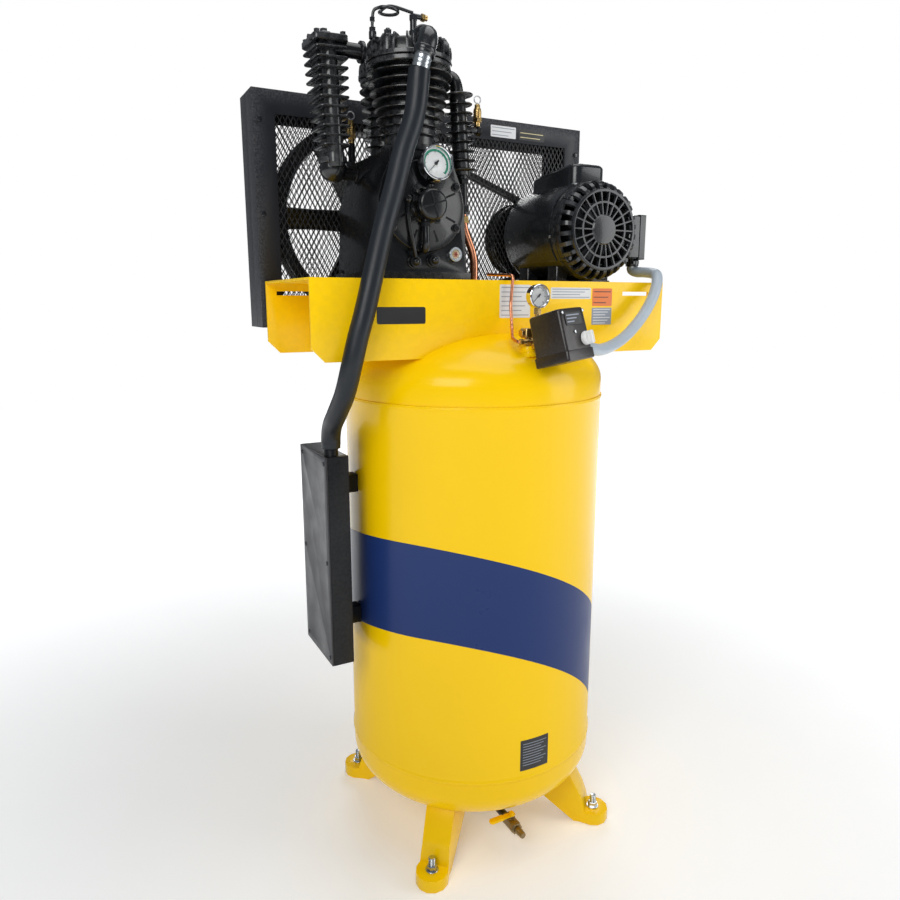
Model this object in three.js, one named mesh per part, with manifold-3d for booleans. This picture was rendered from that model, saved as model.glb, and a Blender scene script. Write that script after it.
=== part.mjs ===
// Vertical tank compressor: a two-stage belt-driven pump and its motor on a saddle platform,
// welded to the top head of an upright air receiver on four legs.
// Millimetres, +Z up, front towards -Y. The shapes are laid out about the tank's axis, with the
// floor at Z = 0, and the whole group is then shifted so that its origin is the centre of its footprint.
import * as THREE from 'three';
import { mergeVertices } from 'three/addons/utils/BufferGeometryUtils.js';
import Module from 'manifold-3d';

const wasm = await Module();
wasm.setup();

// ---------------------------------------------------------------- driving dimensions
const GAP = 0.3;

const TANK_RADIUS = 305;
const TANK_WALL = 5;
const BOTTOM_SEAM_Z = 240;
const TOP_SEAM_Z = 1095;
const HEAD_SKIRT = 34;
const HEAD_DEPTH = 130;
const TANK_SIDES = 40;
const HEAD_STEPS = 5;

const LEG_ANGLES = [45, 135, 225, 315];
const LEG_BOLT_RADIUS = 328;
const LEG_SHEET = 6;
const PAD_HEIGHT = 30;

const DECK = { left: -449, right: 442, front: -162, back: 165, top: 1352, flange: 162, sheet: 5 };
const DECK_CHAMFER = 27;

const GUARD = { left: -457, right: 434, front: 175, back: 281, bottom: 1248, top: 1764 };
const GUARD_LIP = 50;
const GUARD_SHEET = 2;
const BELT_PLANE_Y = 225;

const CRANK = { x: -182, z: 1500 };
const CRANK_THROW = 32;
const LOW_STAGE_Y = -45;
const HIGH_STAGE_Y = 78;
const BLOCK_TOP_Z = 1610;

const FLYWHEEL_RADIUS = 228;
const FLYWHEEL_WIDTH = 56;
const FLYWHEEL_BLADES = 6;
const PULLEY_RADIUS = 98;
const PULLEY_WIDTH = 50;
const BELT_WIDTH = 34;
const BELT_THICKNESS = 11;
const GROOVE_DEPTH = 10;

const MOTOR = { x: 277, z: 1472, radius: 115 };
const SHAFT_RADIUS = 14;

const HOSE_RADIUS = 21.5;
const CONDUIT_RADIUS = 13;
const SILENCER = {
  left: -403, right: -352, front: -84, back: 98, bottom: 508, top: 984, spigotX: -382, spigotY: -60,
};

// ---------------------------------------------------------------- materials
function material(color, roughness, metalness) {
  return new THREE.MeshStandardMaterial({ color, roughness, metalness });
}

const yellowPaint = () => material(0xf2bd0a, 0.3, 0.1);
const blackPaint = () => material(0x17191c, 0.45, 0.2);
const charcoalPaint = () => material(0x34363b, 0.5, 0.2);
const castBlack = () => material(0x1a1c1f, 0.55, 0.3);
const steel = () => material(0x9a9da0, 0.35, 0.9);
const zinc = () => material(0xb9c0c6, 0.35, 0.8);
const brass = () => material(0xb58a3c, 0.3, 0.9);
const copper = () => material(0xc0714a, 0.3, 0.9);
const rubber = () => material(0x202428, 0.8, 0.0);
const greyPlastic = () => material(0x9aa3ab, 0.55, 0.0);
const clearGlass = () => material(0xdfe8e4, 0.1, 0.0);
const whiteEnamel = () => material(0xe8e8e4, 0.4, 0.0);

// ---------------------------------------------------------------- shapes
// A box between two values on each axis.
function box(x0, x1, y0, y1, z0, z1) {
  return new THREE.BoxGeometry(x1 - x0, y1 - y0, z1 - z0)
    .translate((x0 + x1) / 2, (y0 + y1) / 2, (z0 + z1) / 2);
}

// A round bar, or a cone with its own end radius, along +Z.
function barZ(radius, z0, z1, x = 0, y = 0, sides = 24, endRadius = radius) {
  return new THREE.CylinderGeometry(endRadius, radius, z1 - z0, sides)
    .rotateX(Math.PI / 2)
    .translate(x, y, (z0 + z1) / 2);
}

// A round bar along +Y.
function barY(radius, y0, y1, x = 0, z = 0, sides = 24, endRadius = radius) {
  return new THREE.CylinderGeometry(endRadius, radius, y1 - y0, sides)
    .translate(x, (y0 + y1) / 2, z);
}

// A round bar along +X.
function barX(radius, x0, x1, y = 0, z = 0, sides = 24, endRadius = radius) {
  return new THREE.CylinderGeometry(endRadius, radius, x1 - x0, sides)
    .rotateZ(-Math.PI / 2)
    .translate((x0 + x1) / 2, y, z);
}

// A profile of [radius, height] points turned about the Z axis.
function turned(profile, sides) {
  const points = profile.map(([radius, height]) => new THREE.Vector2(radius, height));
  return new THREE.LatheGeometry(points, sides).rotateX(Math.PI / 2);
}

// The same, about the Y axis, with the profile's height along -Y.
function turnedForward(profile, sides) {
  return turned(profile, sides).rotateX(Math.PI / 2);
}

// A flat outline of [x, z] points, thickened from y0 to y1.
function slabXZ(outline, y0, y1) {
  const shape = new THREE.Shape(outline.map(([x, z]) => new THREE.Vector2(x, z)));
  return new THREE.ExtrudeGeometry(shape, { depth: y1 - y0, bevelEnabled: false })
    .rotateX(Math.PI / 2)
    .translate(0, y1, 0);
}

// A flat outline of [x, y] points, thickened from z0 to z1.
function slabXY(outline, z0, z1) {
  const shape = new THREE.Shape(outline.map(([x, y]) => new THREE.Vector2(x, y)));
  return new THREE.ExtrudeGeometry(shape, { depth: z1 - z0, bevelEnabled: false })
    .translate(0, 0, z0);
}

// A round tube along a smooth curve through the points.
function tube(points, radius, sides, steps) {
  const places = points.map((point) => new THREE.Vector3(...point));
  const path = new THREE.CatmullRomCurve3(places, false, 'centripetal');
  const section = new THREE.Shape().absarc(0, 0, radius, 0, 2 * Math.PI);
  return new THREE.ExtrudeGeometry(section, { steps, curveSegments: sides / 2, extrudePath: path });
}

// Points along a pipe whose corners are rounded to the bend radius.
function pipeRoute(corners, bend) {
  const at = corners.map((corner) => new THREE.Vector3(...corner));
  const route = [at[0]];
  for (let i = 1; i < at.length - 1; i += 1) {
    const before = at[i].clone().add(at[i - 1].clone().sub(at[i]).setLength(bend));
    const after = at[i].clone().add(at[i + 1].clone().sub(at[i]).setLength(bend));
    const arc = new THREE.QuadraticBezierCurve3(before, at[i], after);
    route.push(...arc.getPoints(4));
  }
  route.push(at[at.length - 1]);
  return route.map((point) => point.toArray());
}

// Points on a circle in the XZ plane, from one angle to another in degrees.
function arcXZ(x, z, radius, fromDegrees, toDegrees, steps) {
  const points = [];
  for (let i = 0; i <= steps; i += 1) {
    const angle = THREE.MathUtils.degToRad(fromDegrees + ((toDegrees - fromDegrees) * i) / steps);
    points.push([x + radius * Math.cos(angle), z + radius * Math.sin(angle)]);
  }
  return points;
}

// ---------------------------------------------------------------- joining and cutting
function toManifold(geometry) {
  const bare = new THREE.BufferGeometry().setAttribute('position', geometry.getAttribute('position').clone());
  if (geometry.index) bare.setIndex(geometry.index.clone());
  const merged = mergeVertices(bare, 1e-4);
  const corners = merged.index.array;
  const kept = [];
  for (let i = 0; i < corners.length; i += 3) {
    const [a, b, c] = [corners[i], corners[i + 1], corners[i + 2]];
    if (a !== b && b !== c && c !== a) kept.push(a, b, c);
  }
  const vertProperties = new Float32Array(merged.attributes.position.array);
  const facing = (triangles) => new wasm.Manifold(
    new wasm.Mesh({ numProp: 3, vertProperties, triVerts: new Uint32Array(triangles) }),
  );
  const made = facing(kept);
  return made.volume() < 0 ? facing(kept.reverse()) : made;
}

function toGeometry(manifold) {
  const mesh = manifold.getMesh();
  const geometry = new THREE.BufferGeometry();
  geometry.setAttribute('position', new THREE.BufferAttribute(new Float32Array(mesh.vertProperties), 3));
  geometry.setIndex(new THREE.BufferAttribute(new Uint32Array(mesh.triVerts), 1));
  return geometry;
}

function join(...pieces) {
  return toGeometry(pieces.map(toManifold).reduce((whole, piece) => whole.add(piece)));
}

function cut(body, ...tools) {
  return toGeometry(tools.map(toManifold).reduce((whole, tool) => whole.subtract(tool), toManifold(body)));
}

function common(first, second) {
  return toGeometry(toManifold(first).intersect(toManifold(second)));
}

// A named mesh in its group, at a position and a rotation in degrees.
function place(group, name, geometry, finish, position = [0, 0, 0], turn = [0, 0, 0]) {
  const flat = toGeometry(toManifold(geometry));
  const mesh = new THREE.Mesh(flat.toNonIndexed(), finish);
  mesh.geometry.computeVertexNormals();
  mesh.name = name;
  mesh.position.set(...position);
  mesh.rotation.set(...turn.map(THREE.MathUtils.degToRad));
  group.add(mesh);
  return mesh;
}

function subgroup(parent, position = [0, 0, 0], turn = [0, 0, 0]) {
  const group = new THREE.Group();
  group.position.set(...position);
  group.rotation.set(...turn.map(THREE.MathUtils.degToRad));
  parent.add(group);
  return group;
}

// ---------------------------------------------------------------- tank
const compressor = new THREE.Group();
const tank = subgroup(compressor);

// The receiver's shell, with the raised weld bead at each end.
function shellGeometry(height) {
  const inner = TANK_RADIUS - TANK_WALL;
  const bead = TANK_RADIUS + 2.5;
  return turned([
    [inner, 0], [bead, 0], [bead, 6], [TANK_RADIUS, 10],
    [TANK_RADIUS, height - 10], [bead, height - 6], [bead, height], [inner, height], [inner, 0],
  ], TANK_SIDES);
}

// From the pole of a head down its half ellipse to the rim of its straight skirt.
function headOutline(radius, depth) {
  const outline = [];
  for (let i = 0; i <= HEAD_STEPS; i += 1) {
    const angle = (i / HEAD_STEPS) * (Math.PI / 2);
    outline.push([i === 0 ? 0 : radius * Math.sin(angle), HEAD_SKIRT + depth * Math.cos(angle)]);
  }
  outline.push([radius, 0]);
  return outline;
}

function headGeometry() {
  const outer = headOutline(TANK_RADIUS, HEAD_DEPTH);
  const inner = headOutline(TANK_RADIUS - TANK_WALL, HEAD_DEPTH - TANK_WALL);
  return turned([...outer, ...inner.reverse()], TANK_SIDES);
}

// The full volume inside a head's outer surface, a little larger all round.
function headEnvelope(grown) {
  return turned([...headOutline(TANK_RADIUS + grown, HEAD_DEPTH + grown), [0, 0]], TANK_SIDES);
}

const SHELL_BASE_Z = BOTTOM_SEAM_Z + GAP;
const SHELL_HEIGHT = TOP_SEAM_Z - BOTTOM_SEAM_Z - 2 * GAP;
place(tank, 'tank_shell', shellGeometry(SHELL_HEIGHT), yellowPaint(), [0, 0, SHELL_BASE_Z]);

const SWITCH_PORT = { x: -6, y: -246, top: 121 };
const INLET_PORT = { x: -9, y: -20, top: 184 };

function portedTopHead() {
  const switchPort = barZ(17, 88, SWITCH_PORT.top, SWITCH_PORT.x, SWITCH_PORT.y, 12);
  const inletPort = barZ(22, 150, INLET_PORT.top, INLET_PORT.x, INLET_PORT.y, 12);
  return join(headGeometry(), switchPort, inletPort);
}

place(tank, 'top_head', portedTopHead(), yellowPaint(), [0, 0, TOP_SEAM_Z]);

const DRAIN_PORT_DEPTH = HEAD_SKIRT + HEAD_DEPTH + 8;

function portedBottomHead() {
  return join(headGeometry(), barZ(18, HEAD_SKIRT + HEAD_DEPTH - 12, DRAIN_PORT_DEPTH, 0, 0, 12));
}

place(tank, 'bottom_head', portedBottomHead(), yellowPaint(), [0, 0, BOTTOM_SEAM_Z], [180, 0, 0]);

// A leg is a tapered channel, open below and towards the tank's axis. It is drawn with +X
// outwards: its side view fixes the slope and the pad, its plan fixes the taper and the round toe.
function legBlank(inset) {
  const side = [
    [150, 103 - inset], [250 - inset, 168 - inset], [297 - inset, 79], [308 - inset, 46],
    [311 - inset, PAD_HEIGHT - inset], [368 - inset, PAD_HEIGHT - inset], [368 - inset, -inset],
    [284, -inset], [244, 30 - inset], [202, 61 - inset],
  ];
  const toe = [];
  for (let i = 0; i <= 6; i += 1) {
    const angle = Math.PI / 2 - (i / 6) * Math.PI;
    toe.push([LEG_BOLT_RADIUS + (38 - inset) * Math.cos(angle), (38 - inset) * Math.sin(angle)]);
  }
  const plan = [[140, 38 - inset], [300, 33 - inset], ...toe, [300, inset - 33], [140, inset - 38]];
  return common(slabXZ(side, -90, 90), slabXY(plan, -20, 200));
}

function legGeometry() {
  const head = headEnvelope(2 * GAP).rotateX(Math.PI).translate(0, 0, BOTTOM_SEAM_Z);
  const hollow = legBlank(LEG_SHEET);
  const hole = barZ(9, -1, PAD_HEIGHT + 1, LEG_BOLT_RADIUS, 0, 12);
  return cut(legBlank(0), hollow, head, hole);
}

function hexagon(radius, z0, z1) {
  return barZ(radius, z0, z1, 0, 0, 6);
}

function footBoltGeometry() {
  return join(
    barZ(7.5, PAD_HEIGHT - 24, PAD_HEIGHT + 34, 0, 0, 8),
    barZ(15, PAD_HEIGHT + GAP, PAD_HEIGHT + 3, 0, 0, 12),
    hexagon(12, PAD_HEIGHT + 3, PAD_HEIGHT + 15),
  );
}

LEG_ANGLES.forEach((angle, index) => {
  const corner = subgroup(tank, [0, 0, 0], [0, 0, angle]);
  place(corner, `leg_${index + 1}`, legGeometry(), yellowPaint());
  place(corner, `foot_bolt_${index + 1}`, footBoltGeometry(), zinc(), [LEG_BOLT_RADIUS, 0, 0]);
});

// ---------------------------------------------------------------- drain
const DRAIN_Z = 48;
const DRAIN_VALVE_Y = -206;
const drain = subgroup(tank, [0, 0, DRAIN_Z]);
const DRAIN_TOP = BOTTOM_SEAM_Z - DRAIN_PORT_DEPTH - DRAIN_Z - GAP;

function drainValveGeometry() {
  return join(
    barZ(10, 0, DRAIN_TOP, 0, 0, 12),
    new THREE.SphereGeometry(14, 12, 8),
    barY(10, DRAIN_VALVE_Y + 10, 0, 0, 0, 12),
    barY(15, DRAIN_VALVE_Y - 22, DRAIN_VALVE_Y + 22, 0, 0, 8),
    barY(9, DRAIN_VALVE_Y - 40, DRAIN_VALVE_Y - 20, 0, 0, 12),
    barY(7, DRAIN_VALVE_Y - 54, DRAIN_VALVE_Y - 38, 0, 0, 12),
    barZ(6, 0, 21, 0, DRAIN_VALVE_Y, 12),
  );
}

// The lever of the ball valve, across the pipe when the valve is shut.
function drainHandleGeometry() {
  return join(
    box(-58, 9, -7, 7, 0, 3),
    box(-62, -54, -8, 8, -6, 3),
    hexagon(7, 2, 8),
  );
}

place(drain, 'drain_valve', drainValveGeometry(), brass());
place(drain, 'drain_handle', drainHandleGeometry(), yellowPaint(), [0, DRAIN_VALVE_Y, 21 + GAP]);

// ---------------------------------------------------------------- platform
// A folded channel: a top plate with a deep flange at the front and the back. The flanges are
// cut to the curve of the head, and have chamfered lower corners.
function platformGeometry() {
  const { left, right, front, back, top, flange, sheet } = DECK;
  const bottom = top - flange;
  const outline = [
    [left + DECK_CHAMFER, bottom], [right - DECK_CHAMFER, bottom], [right, bottom + DECK_CHAMFER],
    [right, top], [left, top], [left, bottom + DECK_CHAMFER],
  ];
  const blank = slabXZ(outline, front, back);
  const inside = box(left - 1, right + 1, front + sheet, back - sheet, bottom - 1, top - sheet);
  const head = headEnvelope(2 * GAP).translate(0, 0, TOP_SEAM_Z);
  const slot = box(316, 395, front - 1, front + sheet + 1, top - 31, top - 22);
  const backSlot = box(-425, -345, back - sheet - 1, back + 1, top - 31, top - 22);
  const pipeHole = barZ(20, top - sheet - 1, top + 1, INLET_PORT.x, INLET_PORT.y, 20);
  return cut(blank, inside, head, slot, backSlot, pipeHole);
}

place(compressor, 'platform', platformGeometry(), yellowPaint());

// ---------------------------------------------------------------- belt guard
const guard = subgroup(compressor);
const GUARD_SPLIT_Y = (GUARD.front + GUARD.back) / 2;

// One folded half of the guard: a band round the edge and a lip round an open window.
function guardHalf(y0, y1, lipAtLowY) {
  const { left, right, bottom, top } = GUARD;
  const inner0 = lipAtLowY ? y0 + GUARD_SHEET : y0 - 1;
  const inner1 = lipAtLowY ? y1 + 1 : y1 - GUARD_SHEET;
  const hollow = box(
    left + GUARD_SHEET, right - GUARD_SHEET, inner0, inner1, bottom + GUARD_SHEET, top - GUARD_SHEET,
  );
  const window = box(
    left + GUARD_LIP, right - GUARD_LIP, y0 - 1, y1 + 1, bottom + GUARD_LIP, top - GUARD_LIP,
  );
  return cut(box(left, right, y0, y1, bottom, top), hollow, window);
}

// The front half also has the four spacers that stand it off the platform's back flange.
function guardFrontGeometry() {
  const spacers = [-390, -150, 120, 380].map(
    (x) => barY(9, DECK.back + GAP, GUARD.front + 1, x, GUARD.bottom + GUARD_LIP / 2, 12),
  );
  return join(guardHalf(GUARD.front, GUARD_SPLIT_Y - GAP / 2, true), ...spacers);
}

// A panel of expanded metal behind a window's lip.
function meshPanel(y0, y1) {
  const edge = GUARD_SHEET + 2 * GAP;
  return box(
    GUARD.left + edge, GUARD.right - edge, y0, y1, GUARD.bottom + edge, GUARD.top - edge,
  );
}

function frontMeshGeometry() {
  const y0 = GUARD.front + GUARD_SHEET + GAP;
  const crankHole = barY(75, y0 - 1, y0 + 4, CRANK.x, CRANK.z, 24);
  const shaftHole = barY(50, y0 - 1, y0 + 4, MOTOR.x, MOTOR.z, 20);
  return cut(meshPanel(y0, y0 + 2), crankHole, shaftHole);
}

const BACK_MESH_Y = GUARD.back - GUARD_SHEET - GAP - 2;
place(guard, 'guard_front_frame', guardFrontGeometry(), charcoalPaint());
place(guard, 'guard_back_frame', guardHalf(GUARD_SPLIT_Y + GAP / 2, GUARD.back, false), charcoalPaint());
place(guard, 'guard_mesh_front', frontMeshGeometry(), charcoalPaint());
place(guard, 'guard_mesh_back', meshPanel(BACK_MESH_Y, BACK_MESH_Y + 2), charcoalPaint());

// ---------------------------------------------------------------- pump block
// The pump's group has its origin on the crank axis, at Y = 0.
const pump = subgroup(compressor, [CRANK.x, 0, CRANK.z]);
const BLOCK_BASE = DECK.top + GAP - CRANK.z;
const BLOCK_TOP = BLOCK_TOP_Z - CRANK.z;
const BLOCK_FRONT = -104;
const BLOCK_BACK = 122;
const COVER_BORE = 80;

function blockOutline(inset, deck) {
  const side = 98 - inset;
  return [
    [-side - 8, BLOCK_BASE + 14 + inset], [side + 8, BLOCK_BASE + 14 + inset],
    [side, 14], [side - 9, 50], [side - 24, 84], [side - 27, deck],
    [27 - side, deck], [24 - side, 84], [9 - side, 50], [-side, 14],
  ];
}

function crankcaseGeometry() {
  const casting = slabXZ(blockOutline(0, BLOCK_TOP), BLOCK_FRONT, BLOCK_BACK);
  const foot = box(-112, 112, BLOCK_FRONT - 8, BLOCK_BACK + 8, BLOCK_BASE, BLOCK_BASE + 16);
  const sump = slabXZ(blockOutline(10, BLOCK_TOP - 12), BLOCK_FRONT + 12, BLOCK_BACK - 14);
  const coverBore = barY(COVER_BORE, BLOCK_FRONT - 1, BLOCK_FRONT + 30, 0, 0, 24);
  const shaftBore = barY(26, BLOCK_BACK - 20, BLOCK_BACK + 20, 0, 0, 16);
  const lowBore = barZ(52, BLOCK_TOP - 40, BLOCK_TOP + 1, 0, LOW_STAGE_Y, 20);
  const highBore = barZ(33, BLOCK_TOP - 40, BLOCK_TOP + 1, 0, HIGH_STAGE_Y, 16);
  const bearingBoss = barY(40, BLOCK_BACK - 1, BLOCK_BACK + 18, 0, 0, 20);
  const oilCaps = [[-22, -112], [22, -108]].map(
    ([x, z]) => barY(12, BLOCK_FRONT - 14, BLOCK_FRONT + 2, x, z, 12),
  );
  return cut(
    join(casting, foot, bearingBoss, ...oilCaps),
    sump, coverBore, shaftBore, lowBore, highBore,
  );
}

place(pump, 'crankcase', crankcaseGeometry(), castBlack());

// The bearing cover: a flanged disc that plugs the crankcase's front bore, with a blind bearing.
const COVER_FACE = BLOCK_FRONT - 14;

function frontCoverGeometry() {
  const flange = barY(92, COVER_FACE, BLOCK_FRONT - GAP, 0, 0, 28);
  const plug = barY(COVER_BORE - 2, BLOCK_FRONT - 1, BLOCK_FRONT + 14, 0, 0, 24);
  const bearing = barY(17, BLOCK_FRONT - 6, BLOCK_FRONT + 20, 0, 0, 16);
  const bolts = [];
  for (let i = 0; i < 6; i += 1) {
    const angle = (i * Math.PI) / 3;
    bolts.push(barY(6, COVER_FACE - 5, COVER_FACE + 1, 84 * Math.cos(angle), 84 * Math.sin(angle), 6));
  }
  return cut(join(flange, plug, ...bolts), bearing);
}

place(pump, 'front_cover', frontCoverGeometry(), castBlack());

function sightGlassGeometry() {
  return barY(14, BLOCK_FRONT - 9, BLOCK_FRONT - GAP, 0, 0, 20);
}

place(pump, 'sight_glass', sightGlassGeometry(), clearGlass(), [76, 0, -94]);

// ---------------------------------------------------------------- running gear
// The crankshaft has one throw for each stage, on opposite sides of its axis.
const THROW_HALF = 15;
const WEB = 13;

function crankThrow(y, side) {
  const pin = barY(13, y - THROW_HALF, y + THROW_HALF, 0, side * CRANK_THROW, 12);
  const web = (y0) => join(
    barY(24, y0, y0 + WEB, 0, side * CRANK_THROW, 10),
    barY(50, y0, y0 + WEB, 0, -side * 6, 14),
  );
  return [pin, web(y - THROW_HALF - WEB + 1), web(y + THROW_HALF - 1)];
}

function crankshaftGeometry() {
  return join(
    barY(15, BLOCK_FRONT - 4, LOW_STAGE_Y - THROW_HALF, 0, 0, 12),
    barY(20, LOW_STAGE_Y + THROW_HALF, HIGH_STAGE_Y - THROW_HALF, 0, 0, 12),
    barY(20, HIGH_STAGE_Y + THROW_HALF, BELT_PLANE_Y + 32, 0, 0, 20),
    barY(30, BELT_PLANE_Y + 29, BELT_PLANE_Y + 35, 0, 0, 16),
    barY(18, BELT_PLANE_Y + 34, BELT_PLANE_Y + 46, 0, 0, 6),
    ...crankThrow(LOW_STAGE_Y, 1),
    ...crankThrow(HIGH_STAGE_Y, -1),
  );
}

place(pump, 'crankshaft', crankshaftGeometry(), steel());

// A flywheel whose flat spokes are set at an angle, so that they also blow air over the pump.
function flywheelGeometry() {
  const half = FLYWHEEL_WIDTH / 2;
  const belt = BELT_WIDTH / 2 + 2;
  const groove = FLYWHEEL_RADIUS - GROOVE_DEPTH;
  const rim = turnedForward([
    [202, -half], [FLYWHEEL_RADIUS, -half], [FLYWHEEL_RADIUS, -belt], [groove, -belt],
    [groove, belt], [FLYWHEEL_RADIUS, belt], [FLYWHEEL_RADIUS, half], [202, half], [202, -half],
  ], 36);
  const blades = [];
  for (let i = 0; i < FLYWHEEL_BLADES; i += 1) {
    const blade = box(30, 207, -28, 28, -5, 5).rotateX(THREE.MathUtils.degToRad(62));
    blades.push(blade.rotateY((i * 2 * Math.PI) / FLYWHEEL_BLADES));
  }
  const hub = barY(42, -half, half, 0, 0, 20);
  const bore = barY(20 + GAP, -half - 9, half + 9, 0, 0, 20);
  return cut(join(rim, hub, ...blades), bore);
}

place(pump, 'flywheel', flywheelGeometry(), castBlack(), [0, BELT_PLANE_Y, 0]);

// ---------------------------------------------------------------- cylinders and pistons
const LOW = { y: LOW_STAGE_Y, bore: 46, wall: 54, fins: 7, finLow: 62, finHigh: 90 };
const HIGH = { y: HIGH_STAGE_Y, bore: 26, wall: 35, fins: 5, finLow: 48, finHigh: 58 };
const STAGE_SPLIT_Y = 24;
const CYLINDER_LENGTH = 174;

// A finned barrel on a base flange. Its fins widen upwards and are cut flat where the
// two barrels stand side by side.
function cylinderGeometry(stage, sides) {
  const pieces = [
    barZ(stage.wall, 0, CYLINDER_LENGTH, 0, 0, sides),
    barZ(stage.wall + 9, 0, 12, 0, 0, sides),
    barZ(stage.finHigh - 3, CYLINDER_LENGTH - 10, CYLINDER_LENGTH, 0, 0, sides),
  ];
  for (let i = 0; i < stage.fins; i += 1) {
    const share = i / (stage.fins - 1);
    const z = 30 + share * (CYLINDER_LENGTH - 56);
    const radius = stage.finLow + share * (stage.finHigh - stage.finLow);
    pieces.push(barZ(radius, z, z + 5, 0, 0, sides));
  }
  return cut(join(...pieces), barZ(stage.bore, -1, CYLINDER_LENGTH + 1, 0, 0, 16));
}

function beyondSplit(forward) {
  const low = STAGE_SPLIT_Y + (forward ? -0.5 : 0.5);
  return forward ? box(-200, 200, low, low + 300, -10, 400) : box(-200, 200, low - 300, low, -10, 400);
}

function stageGeometry(stage, forward, sides) {
  const barrel = cylinderGeometry(stage, sides).translate(0, stage.y, 0);
  return cut(barrel, beyondSplit(forward));
}

const cylinders = subgroup(pump, [0, 0, BLOCK_TOP + GAP]);
place(cylinders, 'low_stage_cylinder', stageGeometry(LOW, true, 18), castBlack());
place(cylinders, 'high_stage_cylinder', stageGeometry(HIGH, false, 12), castBlack());

function pistonGeometry(radius) {
  const crown = turned([
    [0, 0], [radius, 0], [radius, -44], [radius - 5, -44], [radius - 5, -8], [0, -8],
  ], 16);
  return join(crown, barY(6, 1 - radius, radius - 1, 0, -26, 8));
}

// At rest the low-stage piston is at the top of its stroke and the high-stage piston at the bottom.
const PISTON_TOP = BLOCK_TOP + CYLINDER_LENGTH - 2;
const HIGH_PISTON_TOP = PISTON_TOP - 2 * CRANK_THROW;
place(pump, 'low_stage_piston', pistonGeometry(LOW.bore - 0.6), steel(), [0, LOW_STAGE_Y, PISTON_TOP]);
place(pump, 'high_stage_piston', pistonGeometry(HIGH.bore - 0.6), steel(),
  [0, HIGH_STAGE_Y, HIGH_PISTON_TOP]);

// ---------------------------------------------------------------- cylinder heads
const HEAD_BASE = BLOCK_TOP + CYLINDER_LENGTH + 2 * GAP;
const LOW_HEAD_HEIGHT = 42;
const HIGH_HEAD_HEIGHT = 36;

// A round head with upright ribs round its edge and bolts on its top.
function ribbedHead(radius, height, ribs, bolts) {
  const pieces = [
    barZ(radius - 9, 0, height - 8, 0, 0, 20),
    barZ(radius, 0, 9, 0, 0, 20),
    barZ(radius * 0.45, height - 10, height + 4, 0, 0, 12),
  ];
  for (let i = 0; i < ribs; i += 1) {
    const rib = box(radius * 0.4, radius - 1, -2.5, 2.5, 2, height);
    pieces.push(rib.rotateZ((i * 2 * Math.PI) / ribs));
  }
  for (let i = 0; i < bolts; i += 1) {
    const angle = ((i + 0.5) * 2 * Math.PI) / bolts;
    const at = [radius * 0.78 * Math.cos(angle), radius * 0.78 * Math.sin(angle)];
    pieces.push(barZ(9, 4, height + 6, ...at, 6));
  }
  return join(...pieces);
}

function lowHeadGeometry() {
  const head = ribbedHead(90, LOW_HEAD_HEIGHT, 12, 6).translate(0, LOW_STAGE_Y, 0);
  return cut(head, beyondSplit(true));
}

function highHeadGeometry() {
  const head = ribbedHead(60, HIGH_HEAD_HEIGHT, 8, 4).translate(0, HIGH_STAGE_Y, 0);
  return cut(head, beyondSplit(false));
}

const heads = subgroup(pump, [0, 0, HEAD_BASE]);
place(heads, 'low_stage_head', lowHeadGeometry(), castBlack());
place(heads, 'high_stage_head', highHeadGeometry(), castBlack());

// ---------------------------------------------------------------- coolers
// The intercooler: two finned tubes side by side on the left, one behind the other, with an arm
// to the low-stage head at the top and an arm back to the high stage at the foot.
const INTERCOOLER = { x: -155, y: 0, bottom: 78, lean: -2.5, tube: 17, spread: 20, fins: 11, pitch: 18 };
const INTERSTAGE_PORT = { x: -95, y: 48, z: 141 };

function intercoolerGeometry() {
  const { spread, fins, pitch } = INTERCOOLER;
  const column = [
    barZ(INTERCOOLER.tube, 0, 244, 0, -spread, 8),
    barZ(INTERCOOLER.tube, 0, 244, 0, spread, 8),
    box(-36, 36, -45, 45, 234, 246),
    barZ(18, 244, 255, 0, 0, 8),
    barZ(8, 254, 265, 0, 0, 6),
    new THREE.SphereGeometry(28, 10, 6),
    box(-18, 18, -spread, spread, 6, 30),
  ];
  for (let i = 0; i < fins; i += 1) {
    const z = 40 + i * pitch;
    const halfWidth = 30 + i * 0.5;
    const halfDepth = 37 + i * 0.7;
    column.push(box(-halfWidth, halfWidth, -halfDepth, halfDepth, z, z + 5));
  }
  return join(...column);
}

function intercoolerAssembly() {
  const column = intercoolerGeometry()
    .rotateY(THREE.MathUtils.degToRad(INTERCOOLER.lean))
    .translate(INTERCOOLER.x, INTERCOOLER.y, INTERCOOLER.bottom);
  const upper = barX(15, -182, -95, -22, HEAD_BASE + 19, 8);
  const lower = barX(15, INTERCOOLER.x, -84, HIGH_STAGE_Y - 30, BLOCK_TOP - 30, 8);
  const riser = barY(15, -2, HIGH_STAGE_Y - 20, INTERCOOLER.x + 2, BLOCK_TOP - 30, 8);
  const { x, y, z } = INTERSTAGE_PORT;
  const nipple = barZ(8, BLOCK_TOP - 24, z, x, y, 10);
  return join(column, upper, lower, riser, nipple);
}

place(pump, 'intercooler', intercoolerAssembly(), castBlack());

// The aftercooler: a round-finned column that leans in over the low stage, fed by an elbow from
// the high stage's head, with a nozzle at its foot and a side port for the relief valve.
const AFTERCOOLER = { x: 140, y: -20, bottom: 88, length: 168, lean: -4.4, finRadius: 32, fins: 9 };
const NOZZLE_END = { x: 143, z: 0 };
const RELIEF_PORT = { x: 179, z: 182 };

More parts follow.
